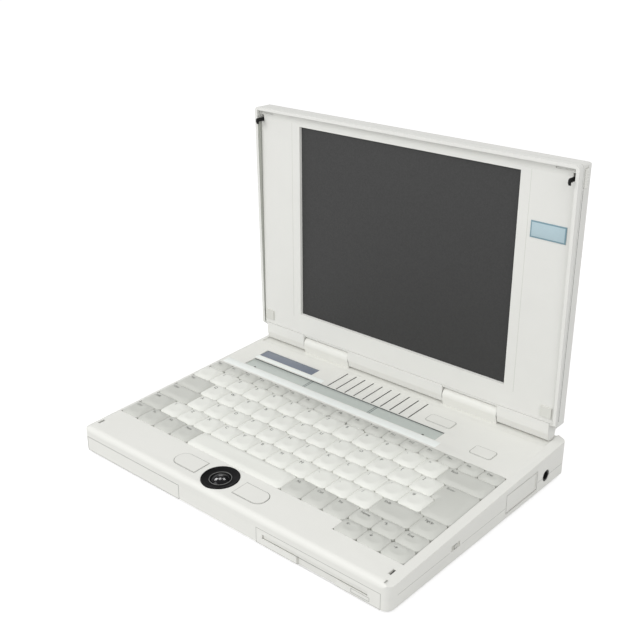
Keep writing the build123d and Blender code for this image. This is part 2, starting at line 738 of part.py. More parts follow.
def roller_y():
    """Encoder roller behind the ball, turning as the ball rolls away from the user."""
    c = ball_centre().position
    half = ROLLER_LENGTH / 2
    return rod_x(ROLLER_RADIUS, c.X - half, c.X + half, c.Y + roller_gap(), c.Z)


def roller_x():
    """Encoder roller beside the ball, turning as the ball rolls sideways."""
    c = ball_centre().position
    half = ROLLER_LENGTH / 2
    return rod_y(ROLLER_RADIUS, c.Y - half, c.Y + half, c.X + roller_gap(), c.Z)


# Buttons and windows
def deck_button(place):
    """Flat button standing a little proud of the deck."""
    return deck_prism(deck_pad(place, BUTTON_CORNER), BUTTON_PROUD, BUTTON_PROUD - BUTTON_THICK)


def click_button(side):
    """One click button beside the ball."""
    return deck_prism(click_shape(side), BUTTON_PROUD, BUTTON_PROUD - BUTTON_THICK)


def status_lcd():
    """Status display: glass in the window with a wider backing under the deck."""
    glass = deck_prism(deck_pad(STATUS, WINDOW_CORNER), -FIT_GAP, -WALL)
    back = deck_prism(deck_pad(STATUS, WINDOW_CORNER, STATUS_EDGE), -WALL, -WALL - STATUS_THICK)
    return glass + back


def indicator_strip():
    """Tinted strip in the shallow recess behind the keyboard."""
    return deck_prism(deck_pad(STRIP, WINDOW_CORNER), -STRIP_RECESS, -STRIP_RECESS - STRIP_THICK)


def speaker():
    """Loudspeaker under the sound slots."""
    rim = deck_prism(Pos(0, GRILLE_S) * Circle(SPEAKER_RADIUS), -WALL, -WALL - SPEAKER_DEPTH / 2)
    middle = -WALL - SPEAKER_DEPTH / 2
    magnet = deck_prism(Pos(0, GRILLE_S) * Circle(SPEAKER_RADIUS / 2), middle, -WALL - SPEAKER_DEPTH)
    return rim + magnet


# Front panels and drives
def battery_front():
    """Front panel of the battery pack, flush with the case."""
    gap = FIT_GAP
    panel = span_box(
        (BATTERY_LEFT + gap, FRONT, BOTTOM), (BATTERY_RIGHT - gap, FRONT + PANEL_THICK, BOTTOM + PANEL_TOP - gap)
    )
    return chamfer(panel.edges().filter_by(Axis.X).sort_by(Axis.Z)[0], BOTTOM_EDGE)


def battery_pack():
    """Cell block that slides in behind its panel, with contact grooves at the rear."""
    low = (BATTERY_LEFT + FIT_GAP, FRONT + PANEL_THICK, FLOOR_Z + FIT_GAP)
    high = (BATTERY_RIGHT - FIT_GAP, FRONT + PANEL_THICK + BATTERY_DEPTH, BOTTOM + PANEL_TOP - 2 * FIT_GAP)
    block = span_box(low, high)
    block = fillet(block.edges().filter_by(Axis.Y), BATTERY_CORNER)
    width, deep, tall = CONTACT_SIZE
    for i in range(CONTACT_COUNT):
        x = BATTERY_RIGHT - CONTACT_FIRST - CONTACT_STEP * i
        block -= Pos(x, FRONT + PANEL_THICK + BATTERY_DEPTH, FLOOR_Z + CONTACT_UP) * Box(width, 2 * deep, tall)
    return block


def disk_slot_z():
    """Middle height of the diskette slot."""
    return BOTTOM + DISK_Z


def floppy_bezel():
    """Drive front with its slot, thumb recess and button opening."""
    gap = PANEL_GAP
    panel = span_box(
        (DRIVE_LEFT + gap, FRONT, BOTTOM), (DRIVE_RIGHT - gap, FRONT + PANEL_THICK, BOTTOM + PANEL_TOP - gap)
    )
    panel = chamfer(panel.edges().filter_by(Axis.X).sort_by(Axis.Z)[0], BOTTOM_EDGE)
    z = disk_slot_z()
    panel -= span_box(
        (DISK_LEFT, FRONT - EPS, z - DISK_SLOT / 2),
        (DISK_LEFT + DISK_WIDTH, FRONT + PANEL_THICK + EPS, z + DISK_SLOT / 2),
    )
    panel -= span_box((THUMB_LEFT, FRONT - EPS, BOTTOM - EPS), (THUMB_RIGHT, FRONT + THUMB_DEPTH, z))
    y, pivot = flap_axis()
    ends = (DISK_LEFT - FLAP_PIN_END - PANEL_GAP, DISK_LEFT + DISK_WIDTH + FLAP_PIN_END + PANEL_GAP)
    panel -= rod_x(FLAP_PIN + RUNNING, *ends, y, pivot)
    return panel - eject_box(PANEL_GAP, PANEL_THICK + EPS)


def eject_box(grow, depth):
    """Space of the eject button, from in front of the bezel to a depth behind it."""
    return span_box(
        (EJECT_LEFT - grow, FRONT - EPS, BOTTOM + EJECT_Z - EJECT_HEIGHT / 2 - grow),
        (EJECT_LEFT + EJECT_WIDTH + grow, FRONT + depth, BOTTOM + EJECT_Z + EJECT_HEIGHT / 2 + grow),
    )


def eject_button():
    """Eject button, flush with the bezel while no diskette is in."""
    low_z = BOTTOM + EJECT_Z - EJECT_HEIGHT / 2
    high = (EJECT_LEFT + EJECT_WIDTH, FRONT + EJECT_LENGTH, low_z + EJECT_HEIGHT)
    return span_box((EJECT_LEFT, FRONT, low_z), high)


def floppy_drive():
    """Drive body with the open bay that takes a diskette."""
    left = (DRIVE_LEFT + DRIVE_RIGHT - DRIVE_WIDTH) / 2
    front = FRONT + PANEL_THICK
    body = span_box((left, front, FLOOR_Z), (left + DRIVE_WIDTH, front + DRIVE_DEPTH, FLOOR_Z + DRIVE_HEIGHT))
    z = disk_slot_z()
    body -= span_box(
        (DISK_LEFT - FIT_GAP, front - EPS, z - BAY_HEIGHT / 2),
        (DISK_LEFT + DISK_WIDTH + FIT_GAP, front + DISK_BAY, z + BAY_HEIGHT / 2),
    )
    return body - eject_box(FIT_GAP, EJECT_LENGTH + EPS)


def flap_axis():
    """Height and depth of the dust flap's pivot."""
    return FRONT + PANEL_THICK / 2, disk_slot_z() + DISK_SLOT / 2 - FLAP_PIN - RUNNING


def dust_flap():
    """Thin flap that closes the diskette slot, hung from its top edge."""
    y, z = flap_axis()
    low = disk_slot_z() - DISK_SLOT / 2 + FIT_GAP
    flap = span_box(
        (DISK_LEFT + FIT_GAP, y - FLAP_THICK / 2, low), (DISK_LEFT + DISK_WIDTH - FIT_GAP, y + FLAP_THICK / 2, z)
    )
    return flap + rod_x(FLAP_PIN, DISK_LEFT - FLAP_PIN_END, DISK_LEFT + DISK_WIDTH + FLAP_PIN_END, y, z)


def hard_drive():
    """Sealed 2.5-inch drive resting on the floor at the left."""
    x, s = DISK_DRIVE_CORNER
    width, length, height = DISK_DRIVE_SIZE
    return span_box((x, FRONT + s, FLOOR_Z), (x + width, FRONT + s + length, FLOOR_Z + height))


def main_board():
    """Circuit board on its posts with the larger chips."""
    low_x, high_x, low_s, high_s = BOARD_BOX
    low = FLOOR_Z + BOARD_LIFT
    top = low + BOARD_THICK
    board = span_box((low_x, FRONT + low_s, low), (high_x, FRONT + high_s, top))
    for across, along, size in CHIPS:
        board += Pos(low_x + across, FRONT + low_s + along, top + CHIP_HEIGHT / 2) * Box(size, size, CHIP_HEIGHT)
    return board


# Connectors
def d_outline(width, height, inset):
    """D-shaped outline inside a flange: wide at the top, its ends slanting in."""
    half = width / 2 - SHROUD_SIDE - inset
    tall = height / 2 - SHROUD_EDGE - inset
    return make_face(
        Polyline((-half, tall), (half, tall), (half - SHROUD_SLOPE, -tall), (-half + SHROUD_SLOPE, -tall), close=True)
    )


def d_shell(width, height, y_face, x, z):
    """Connector facing +Y: block behind the wall, flange and a D-shaped shroud round its socket."""
    face = Plane(origin=(x, y_face, z), x_dir=(-1, 0, 0), z_dir=(0, 1, 0))
    flange = y_face - PORT_PROUD
    block = span_box((x - width / 2, y_face - PORT_DEPTH, z - height / 2), (x + width / 2, flange, z + height / 2))
    shroud = extrude(face * d_outline(width, height, 0.0), -PORT_PROUD - EPS)
    socket = extrude(face * d_outline(width, height, SHROUD_WALL), -SOCKET_DEPTH)
    return block + shroud - socket


def rear_port(port):
    """Connector seated in the rear wall."""
    width, height, x = port
    return d_shell(width, height, REAR, x, BOTTOM + PORT_Z)


def monitor_port():
    """Connector at the back of the side pocket, facing right."""
    flange, height = MONITOR_FLANGE
    y = FRONT + DOOR_FRONT + DOOR_LENGTH / 2
    z = BOTTOM + DOOR_BOTTOM + DOOR_HEIGHT / 2
    port = d_shell(flange, height, 0.0, 0.0, 0.0)
    return Pos(SIDE_X - POCKET_DEPTH + PORT_PROUD, y, z) * (Rot(0, 0, -90) * port)


def door_axis():
    """Across and height of the side door's pivot."""
    return SIDE_X - DOOR_BARREL, BOTTOM + DOOR_BOTTOM + FIT_GAP + DOOR_BARREL


def door_pin(radius, extra):
    """Rod along the door's pivot, longer than the door by extra at each end."""
    x, z = door_axis()
    return rod_y(radius, FRONT + DOOR_FRONT - extra, FRONT + DOOR_FRONT + DOOR_LENGTH + extra, x, z)


def port_door():
    """Side door with a rolled lower edge, pivot pins and a finger groove."""
    x, z = door_axis()
    front = FRONT + DOOR_FRONT + FIT_GAP
    rear = FRONT + DOOR_FRONT + DOOR_LENGTH - FIT_GAP
    top = BOTTOM + DOOR_BOTTOM + DOOR_HEIGHT - FIT_GAP
    door = span_box((SIDE_X - DOOR_THICK, front, z), (SIDE_X, rear, top)) + rod_y(DOOR_BARREL, front, rear, x, z)
    door += door_pin(DOOR_PIN, DOOR_PIN_END)
    deep, wide = DOOR_GRIP
    grip = Box(2 * deep, wide, top - z - DOOR_GRIP_BACK)
    return door - Pos(SIDE_X, rear - DOOR_GRIP_BACK, (z + top) / 2) * grip


def dc_jack():
    """Power inlet: round socket with a centre pin."""
    y = FRONT + INLET_S
    z = BOTTOM + INLET_Z
    face = SIDE_X - INLET_SUNK
    rear = face - INLET_LENGTH
    jack = rod_x(INLET_RADIUS, rear, face, y, z)
    jack -= rod_x(INLET_BORE, rear + INLET_FLOOR, face + EPS, y, z)
    jack += rod_x(INLET_PIN, rear + INLET_FLOOR / 2, face - INLET_PIN_BACK, y, z)
    side = 2 * INLET_RADIUS
    return jack + Pos(rear - INLET_BLOCK / 4, y, z) * Box(INLET_BLOCK, side, side)


def contrast_slider():
    """Small ribbed knob in its track on the right side."""
    length, height = CONTRAST_KNOB
    thick = CONTRAST_RECESS - FIT_GAP
    knob = Pos(SIDE_X - thick / 2, FRONT + CONTRAST_S, BOTTOM + CONTRAST_Z) * Box(thick, length, height)
    for i in (-1, 0, 1):
        rib_y = FRONT + CONTRAST_S + i * length / 4
        knob -= Pos(SIDE_X, rib_y, BOTTOM + CONTRAST_Z) * Box(thick, RIB_WIDTH, height)
    return knob


# Fasteners and feet
def case_screws():
    """Screws from below, heads sunk in the lower case."""
    screws = []
    for x, s in SCREW_SPOTS:
        head = Pos(x, FRONT + s, BOTTOM + SCREW_HEAD_DEPTH / 2) * Cylinder(SCREW_HEAD, SCREW_HEAD_DEPTH)
        tip = screw_top(s) - FIT_GAP
        root = BOTTOM + SCREW_HEAD_DEPTH / 2
        shank = Pos(x, FRONT + s, (root + tip) / 2) * Cylinder(SCREW_RADIUS, tip - root)
        screws.append(head + shank)
    return Compound(screws)


def rubber_feet():
    """Four feet under the corners."""
    length, width = FOOT_SIZE
    outline = Rectangle(length, width)
    pad = extrude(chamfer(outline.vertices(), width / 4), FOOT_HEIGHT)
    return Compound([Pos(x, FRONT + s, 0) * pad for x, s in FOOT_SPOTS])


# Hinge
def knuckle_spans():
    """The two stretches of the hinge carried by the base."""
    return [(-KNUCKLE_OUTER, -KNUCKLE_INNER), (KNUCKLE_INNER, KNUCKLE_OUTER)]


def along_x(profile, low, high):
    """Profile drawn about the hinge axis, made into a bar along it."""
    return Pos(low, HINGE_Y, HINGE_Z) * extrude(Plane.YZ * profile, high - low)


def tower_profile():
    """Section of a tower: round on top, drawn in below a crease at the height of the axis."""
    foot = BARREL_RADIUS + 2 * TROUGH_DEPTH + EPS
    neck = BARREL_RADIUS - CREASE_RUN
    skirt = Polyline((-BARREL_RADIUS, 0), (BARREL_RADIUS, 0), (neck, -foot), (-neck, -foot), close=True)
    return Circle(BARREL_RADIUS) + make_face(skirt)


def hinge_covers():
    """Moulded towers on the base that house the friction sleeves."""
    towers = []
    floor = Pos(0, DEPTH / 2, -TROUGH_DEPTH - DEPTH / 2) * Box(WIDTH, 2 * DEPTH, DEPTH)
    for low, high in knuckle_spans():
        tower = along_x(tower_profile(), low + KNUCKLE_GAP, high - KNUCKLE_GAP)
        tower -= rod_x(SLEEVE_RADIUS + RUNNING, low, high, HINGE_Y, HINGE_Z)
        towers.append(tower - DECK.location * floor - leaf_slots(PANEL_GAP))
    return Compound(towers)


def hinge_brackets():
    """Steel friction sleeves, each with a leaf that runs down into the base."""
    leaves = []
    for low, high in knuckle_spans():
        low, high = low + KNUCKLE_GAP, high - KNUCKLE_GAP
        middle = (low + high) / 2
        half = leaf_length() / 2
        sleeve = rod_x(SLEEVE_RADIUS, middle - half, middle + half, HINGE_Y, HINGE_Z)
        leaf = span_box(
            (middle - half, HINGE_Y - LEAF_THICK / 2, HINGE_Z - SLEEVE_RADIUS - LEAF_DROP),
            (middle + half, HINGE_Y + LEAF_THICK / 2, HINGE_Z - PIN_RADIUS),
        )
        bore = rod_x(PIN_RADIUS + RUNNING, low - EPS, high + EPS, HINGE_Y, HINGE_Z)
        leaves.append(sleeve + leaf - bore)
    return Compound(leaves)


def hinge_pins():
    """Steel pins fixed in the lid's barrels and turning in the sleeves."""
    pins = [rod_x(PIN_RADIUS, low - PIN_SEAT, high + PIN_SEAT, HINGE_Y, HINGE_Z) for low, high in knuckle_spans()]
    return Compound(pins)


# Lid
def lid_z(up):
    """Height of a place measured up the open lid."""
    return LID_BOTTOM + up


def lid_plan(y, inset):
    """Outline of the lid seen from the front, on a plane at depth y that faces the user."""
    tall = LID_HEIGHT + CHIN_DROP
    plane = Plane(origin=(0, y, LID_TOP - tall / 2), x_dir=(1, 0, 0), z_dir=(0, -1, 0))
    return plane * RectangleRounded(LID_WIDTH - 2 * inset, tall - 2 * inset, LID_CORNER - inset)


def parting_groove():
    """Thin groove round the lid between its rim and its back."""
    y = BEZEL_Y + GROOVE_BACK
    ring = lid_plan(y, -EPS) - lid_plan(y, GROOVE_SIZE)
    return extrude(ring, GROOVE_SIZE)


def lid_form():
    """Closed outer shape of the lid, thicker at the rim's top and cut back at the chin."""
    chin = LID_BOTTOM - CHIN_DROP
    outline = Polyline(
        (BEZEL_Y - RIM_TOP, LID_TOP), (BEZEL_Y - RIM_BOTTOM, LID_BOTTOM), (BEZEL_Y + CHIN_BACK, chin),
        (LID_BACK - CHIN_BACK, chin), (LID_BACK, LID_BOTTOM), (LID_BACK, LID_TOP), close=True,
    )
    side = make_face(Plane.YZ * outline)
    crown = side.vertices().sort_by(Axis.Z)[-2:]
    side = fillet(crown.sort_by(Axis.Y)[-1], LID_BACK_RADIUS)
    slab = extrude(side, LID_WIDTH / 2, both=True)
    form = slab & extrude(lid_plan(LID_BACK + EPS, 0.0), LID_THICK + RIM_TOP + 2 * EPS)
    half = LID_WIDTH / 2
    near = BEZEL_Y - RIM_TOP - EPS
    section = Polyline(
        (-half, near), (half, near), (half, LID_BACK - SIDE_BEVEL_DEPTH), (half - SIDE_BEVEL_RUN, LID_BACK),
        (-half + SIDE_BEVEL_RUN, LID_BACK), (-half, LID_BACK - SIDE_BEVEL_DEPTH), close=True,
    )
    return form & (Pos(0, 0, LID_BOTTOM - 2 * CHIN_DROP) * extrude(make_face(section), LID_HEIGHT + 4 * CHIN_DROP))


def barrel_profile():
    """Section of a barrel: flat down to a crease at the axis, drawn in below it to a round underside."""
    neck = BARREL_RADIUS - CREASE_RUN
    low = -sqrt(BARREL_UNDER * BARREL_UNDER - neck * neck)
    top = LID_DROP + FIT_GAP
    half = BARREL_RADIUS
    flanks = Polyline((-neck, low), (-half, 0), (-half, top), (half, top), (half, 0), (neck, low))
    under = ThreePointArc((-neck, low), (0, -BARREL_UNDER), (neck, low))
    return make_face([flanks, under])


def lid_barrels():
    """The three stretches of hinge barrel moulded with the lid."""
    spans = [(-BARREL_HALF, -KNUCKLE_OUTER), (-KNUCKLE_INNER, KNUCKLE_INNER), (KNUCKLE_OUTER, BARREL_HALF)]
    return Part() + [along_x(barrel_profile(), low, high) for low, high in spans]


def side_slot(side):
    """Slot in the lid's side wall for the release slider's tongue, with a shallow well around it."""
    thick, width, length = SLIDER_SIZE
    across, tall = TONGUE
    play = CATCH_TRAVEL + 2 * FIT_GAP
    well = Box(2 * SLIDER_WELL, width + 2 * FIT_GAP, length + play)
    slot = Box(2 * (LID_WALL + RIM_WIDTH), across + 2 * FIT_GAP, tall + play)
    return Pos(side * LID_WIDTH / 2, slider_y(), lid_z(HOOK_UP) + CATCH_TRAVEL / 2) * (well + slot)


def slider_y():
    """Depth of the release slider behind the bezel's face."""
    return BEZEL_Y + BEZEL_THICK + HOOK_TAIL / 2


def lid_cover():
    """Lid back, raised rim, chin and hinge barrels in one moulding."""
    cover = lid_form() - parting_groove()
    half = LID_WIDTH / 2 - RIM_WIDTH
    top = LID_TOP - RIM_WIDTH
    low_z = LID_BOTTOM + FIT_GAP
    cover -= span_box((-half, BEZEL_Y - RIM_TOP - EPS, LID_BOTTOM - EPS), (half, BEZEL_Y, top))
    cover -= span_box((-half, BEZEL_Y - EPS, low_z), (half, LID_BACK - LID_WALL, top))
    cover += lid_barrels()
    for low, high in knuckle_spans():
        cover -= rod_x(BARREL_RADIUS + 1.5 * KNUCKLE_GAP, low, high, HINGE_Y, HINGE_Z)
        cover -= rod_x(PIN_RADIUS, low - PIN_SEAT, high + PIN_SEAT, HINGE_Y, HINGE_Z)
    for side in (-1, 1):
        cover -= side_slot(side)
    return cover


def screen_bezel():
    """Front frame of the lid with a bevelled window for the display."""
    half = LID_WIDTH / 2 - RIM_WIDTH - PANEL_GAP
    low = LID_BOTTOM + FIT_GAP + PANEL_GAP
    top = LID_TOP - RIM_WIDTH - PANEL_GAP
    bezel = span_box((-half, BEZEL_Y, low), (half, BEZEL_Y + BEZEL_THICK, top)) + top_cove(half, top)
    grow = BEZEL_THICK * tan(radians(SCREEN_BEVEL))
    window = Plane(origin=(0, BEZEL_Y + BEZEL_THICK, lid_z(SCREEN_UP)), x_dir=(1, 0, 0), z_dir=(0, -1, 0))
    mouth = window * Rectangle(SCREEN_WIDTH - grow, SCREEN_HEIGHT - grow)
    bezel -= extrude(mouth, BEZEL_THICK, taper=-SCREEN_BEVEL / 2)
    for side in (-1, 1):
        bezel -= hook_slit(side)
        bezel -= Pos(side * RECESS_X, BEZEL_Y - COVE_DEPTH / 2, lid_z(RECESS_UP)) * Box(*RECESS_SIZE)
    return bezel


def top_cove(half, top):
    """Hollow slope that leads from the bezel up to the top rim."""
    foot = (BEZEL_Y, top - COVE_HEIGHT)
    crest = (BEZEL_Y - COVE_DEPTH, top)
    middle = (BEZEL_Y - COVE_DEPTH / 2 + COVE_SAG, top - COVE_HEIGHT / 2 + COVE_SAG)
    back = BEZEL_Y + BEZEL_THICK / 2
    frame = Polyline(crest, (back, top), (back, top - COVE_HEIGHT), foot)
    section = make_face([frame, ThreePointArc(foot, middle, crest)])
    return Pos(-half, 0, 0) * extrude(Plane.YZ * section, 2 * half)


def hook_slit(side):
    """Slit in the bezel for one hook, long enough for its travel."""
    length = HOOK_SHANK + CATCH_TRAVEL + 2 * FIT_GAP
    z = lid_z(HOOK_UP) + CATCH_TRAVEL / 2
    return Pos(side * HOOK_X, BEZEL_Y, z) * Box(HOOK_THICK + 2 * FIT_GAP, 2 * (BEZEL_THICK + EPS), length)


def lcd_panel():
    """Display panel behind the bezel."""
    width, thick, height = PANEL_SIZE
    return Pos(0, BEZEL_Y + BEZEL_THICK + thick / 2, lid_z(SCREEN_UP)) * Box(width, thick, height)


def inverter_board():
    """Backlight supply beside the display."""
    width, thick, height = INVERTER_SIZE
    y = BEZEL_Y + BEZEL_THICK + thick / 2
    return Pos(INVERTER_X, y, lid_z(SCREEN_UP - INVERTER_DROP)) * Box(width, thick, height)


def bumper_pads():
    """Thin rubber pads at the foot of the bezel."""
    width, thick, height = PAD_SIZE
    pad = Box(width, thick, height)
    return Compound([Pos(side * PAD_X, BEZEL_Y - thick / 2, lid_z(PAD_UP)) * pad for side in (-1, 1)])


def badge_plate():
    """Plain plate on the right of the bezel."""
    width, thick, height = BADGE_SIZE
    return Pos(BADGE_X, BEZEL_Y - thick / 2, lid_z(BADGE_UP)) * Box(width, thick, height)


def latch_hook(side):
    """Catch: shank through the bezel with a barb towards the hinge and a tail behind it."""
    z = lid_z(HOOK_UP)
    tip = BEZEL_Y - HOOK_REACH
    neck = BEZEL_Y - hook_drop() - LIP_THICK - FIT_GAP
    tail = BEZEL_Y + BEZEL_THICK + HOOK_TAIL
    high = z + HOOK_SHANK / 2
    low = z - HOOK_SHANK / 2
    barb = low - HOOK_BARB
    outline = Polyline(
        (tail, high), (tip + HOOK_RAMP, high), (tip, high - HOOK_RAMP), (tip, low),
        (tip + HOOK_RAMP, barb), (neck, barb), (neck, low), (tail, low), close=True,
    )
    hook = extrude(make_face(Plane.YZ * outline), HOOK_THICK)
    return Pos(side * HOOK_X - HOOK_THICK / 2, 0, 0) * hook


def release_slider(side):
    """Thumb slider on the lid's side with the tongue that moves the hook."""
    thick, width, length = SLIDER_SIZE
    z = lid_z(HOOK_UP)
    face = LID_WIDTH / 2 - SLIDER_WELL + FIT_GAP
    across, tall = TONGUE
    low = HOOK_X + HOOK_THICK / 2
    pad = Pos(side * (face + thick / 2), slider_y(), z) * Box(thick, width, length)
    tongue = Pos(side * (low + face) / 2, slider_y(), z) * Box(face - low, across, tall)
    deep, wide = SLIDER_RIB
    for i in range(SLIDER_RIBS):
        up = (i - (SLIDER_RIBS - 1) / 2) * length / (SLIDER_RIBS + 1)
        pad -= Pos(side * (face + thick), slider_y(), z + up) * Box(2 * deep, width, wide)
    return pad + tongue


def main():
    hollow = shell()
    zone = lower_zone()
    parts = {
        "bottom_case": bottom_case(hollow, zone),
        "top_case": top_case(hollow, zone),
        "keyboard_plate": keyboard_plate(),
        "enter_key": enter_key(),
        "track_ball": track_ball(),
        "trackball_ring": trackball_ring(),
        "trackball_cup": trackball_cup(),
        "roller_y": roller_y(),
        "roller_x": roller_x(),
        "left_click_button": click_button(-1),
        "right_click_button": click_button(1),
        "standby_button": deck_button(STANDBY),
        "power_button": deck_button(POWER),
        "status_lcd": status_lcd(),
        "indicator_strip": indicator_strip(),
        "speaker": speaker(),
        "battery_front": battery_front(),
        "battery_pack": battery_pack(),
        "floppy_bezel": floppy_bezel(),
        "floppy_drive": floppy_drive(),
        "dust_flap": dust_flap(),
        "eject_button": eject_button(),
        "hard_drive": hard_drive(),
        "main_board": main_board(),
        "parallel_port": rear_port(PARALLEL),
        "serial_port": rear_port(SERIAL),
        "monitor_port": monitor_port(),
        "port_door": port_door(),
        "dc_jack": dc_jack(),
        "contrast_slider": contrast_slider(),
        "case_screws": case_screws(),
        "rubber_feet": rubber_feet(),
        "hinge_covers": hinge_covers(),
        "hinge_brackets": hinge_brackets(),
        "hinge_pins": hinge_pins(),
        "lid_cover": lid_cover(),
        "screen_bezel": screen_bezel(),
        "lcd_panel": lcd_panel(),
        "inverter_board": inverter_board(),
        "bumper_pads": bumper_pads(),
        "badge_plate": badge_plate(),
        "latch_hook_left": latch_hook(-1),
        "latch_hook_right": latch_hook(1),
        "release_slider_left": release_slider(-1),
        "release_slider_right": release_slider(1),
    }
    for name, cells in key_cells().items():
        parts[name] = key_group(cells)
    for name, shape in parts.items():
        save(shape, name)
    print(f"{len(parts)} parts, hinge at y {HINGE_Y:.2f} z {HINGE_Z:.2f}, shuts at {CLOSING_ANGLE:.2f} degrees")


main()
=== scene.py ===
# %% [markdown]
# A notebook computer of the nineties
#
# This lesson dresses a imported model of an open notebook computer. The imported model
# holds every part at its true size and place, so each cell below only has to give a
# part its real surface: rounded edges, dished keys, printed letters and moulded plastic.

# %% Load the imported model
import json
from math import atan2, cos, degrees, pi, radians, sin, sqrt

import bmesh
import bpy
from mathutils import Matrix, Vector


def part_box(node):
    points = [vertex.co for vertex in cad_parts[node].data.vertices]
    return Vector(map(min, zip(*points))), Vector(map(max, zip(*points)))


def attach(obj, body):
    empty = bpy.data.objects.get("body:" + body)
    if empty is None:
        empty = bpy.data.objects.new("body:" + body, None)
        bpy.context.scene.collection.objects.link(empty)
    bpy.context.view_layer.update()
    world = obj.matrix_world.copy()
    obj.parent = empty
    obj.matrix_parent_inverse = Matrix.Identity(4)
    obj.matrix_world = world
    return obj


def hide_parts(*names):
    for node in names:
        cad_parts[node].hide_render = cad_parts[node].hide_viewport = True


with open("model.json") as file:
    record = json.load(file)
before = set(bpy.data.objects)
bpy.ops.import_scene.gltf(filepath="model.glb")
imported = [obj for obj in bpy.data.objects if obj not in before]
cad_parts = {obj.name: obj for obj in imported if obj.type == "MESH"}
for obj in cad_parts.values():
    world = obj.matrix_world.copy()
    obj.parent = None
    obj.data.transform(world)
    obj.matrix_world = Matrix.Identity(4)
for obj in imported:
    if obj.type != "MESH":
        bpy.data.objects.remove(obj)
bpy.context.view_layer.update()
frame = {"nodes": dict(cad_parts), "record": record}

nodes = frame["nodes"]

# %% [markdown]
# Working units
#
# The model is in metres, and a key is nineteen millimetres wide, so sizes are written in
# millimetres and multiplied by one constant. The keyboard deck slopes up to the back.
# A matrix that carries that slope lets every key be built as if the deck lay flat.

# %% Millimetres and the sloping deck
MM = 0.001
DECK_FRONT = -106.0
DECK_HEIGHT = 22.8
DECK_RISE = 9.54
DECK_DEPTH = 212.0
DECK_SLOPE = atan2(DECK_RISE, DECK_DEPTH)
deck_foot = Matrix.Translation((0, DECK_FRONT * MM, DECK_HEIGHT * MM))
deck_frame = deck_foot @ Matrix.Rotation(DECK_SLOPE, 4, "X")


def on_deck(x, s, h=0.0):
    """A point x to the right, s up the slope and h above the deck, all in millimetres."""
    return deck_frame @ Vector((x * MM, s * MM, h * MM))


def corners_of(node):
    """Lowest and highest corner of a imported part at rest, in millimetres."""
    low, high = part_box(node)
    return [c / MM for c in low], [c / MM for c in high]


print("deck rises", round(degrees(DECK_SLOPE), 2), "degrees")

# %% [markdown]
# Shader helpers
#
# Moulded plastic is never one flat colour: pigment is slightly cloudy, the tool leaves a
# fine spark texture, and handling polishes some places. Each finish below is a Principled
# shader fed by noise in the part's own coordinates. That keeps the grain fixed to the part
# when it moves. A few small helpers keep the node wiring short and readable.

# %% Texture helpers
def new_finish(name):
    """Empty material with a Principled shader; returns material, tree, shader, coordinates."""
    mat = bpy.data.materials.new(name)
    mat.use_nodes = True
    tree = mat.node_tree
    shader = tree.nodes["Principled BSDF"]
    coords = tree.nodes.new("ShaderNodeTexCoord")
    return mat, tree, shader, coords.outputs["Object"]


def noise(tree, coords, scale, detail=3.0, rough=0.55):
    """Noise value between 0 and 1 at so many waves to the metre."""
    node = tree.nodes.new("ShaderNodeTexNoise")
    node.inputs["Scale"].default_value = scale
    node.inputs["Detail"].default_value = detail
    node.inputs["Roughness"].default_value = rough
    tree.links.new(coords, node.inputs["Vector"])
    return node.outputs["Fac"]


def ramp(tree, value, low, high, a, b):
    """Maps value from low..high to a..b."""
    node = tree.nodes.new("ShaderNodeMapRange")
    for key, number in (("From Min", low), ("From Max", high), ("To Min", a), ("To Max", b)):
        node.inputs[key].default_value = number
    tree.links.new(value, node.inputs["Value"])
    return node.outputs["Result"]


def blend_colours(tree, factor, first, second):
    """Mix of two colours; each may be a colour or a socket."""
    node = tree.nodes.new("ShaderNodeMix")
    node.data_type = "RGBA"
    tree.links.new(factor, node.inputs[0])
    for socket, colour in ((node.inputs[6], first), (node.inputs[7], second)):
        if isinstance(colour, tuple):
            socket.default_value = (*colour, 1.0)
        else:
            tree.links.new(colour, socket)
    return node.outputs[2]


print("texture helpers ready")

# %% Relief, gloss and colour helpers
BEVEL_SAMPLES = 4


def bump(tree, shader, height, strength, depth, radius=0.0):
    """Relief of a given depth in metres, over edges that look rounded to a radius."""
    node = tree.nodes.new("ShaderNodeBump")
    node.inputs["Strength"].default_value = strength
    node.inputs["Distance"].default_value = depth
    tree.links.new(height, node.inputs["Height"])
    if radius:
        rounding = tree.nodes.new("ShaderNodeBevel")
        rounding.samples = BEVEL_SAMPLES
        rounding.inputs["Radius"].default_value = radius
        tree.links.new(rounding.outputs["Normal"], node.inputs["Normal"])
    tree.links.new(node.outputs["Normal"], shader.inputs["Normal"])


def vary_roughness(tree, shader, texture, smooth, rough):
    """Lets a texture move the roughness between two values."""
    tree.links.new(ramp(tree, texture, 0.3, 0.7, smooth, rough), shader.inputs["Roughness"])


def linear(r, g, b):
    """Screen colour from 0..255 turned into the shader's linear values."""
    return tuple((c / 255 / 12.92) if c <= 10 else ((c / 255 + 0.055) / 1.055) ** 2.4 for c in (r, g, b))


print("relief and colour helpers ready")

# %% [markdown]
# Moulded plastic
#
# The case is light warm grey plastic with a fine matt grain. The same recipe serves the
# caps, the dark parts and the case, with other tones and grain sizes. Two noises are used:
# a broad one that clouds the colour, and a fine one that breaks the gloss and gives relief.
# Convex edges turn a little paler, as handling leaves them.

# %% Plastic finishes
CLOUD_WAVES = 22.0
WORN_EDGE = (0.52, 0.60)
WEAR = 0.35
GRAIN = 2600.0
GRAIN_DEPTH = 0.00002
GRAIN_STRENGTH = 0.35


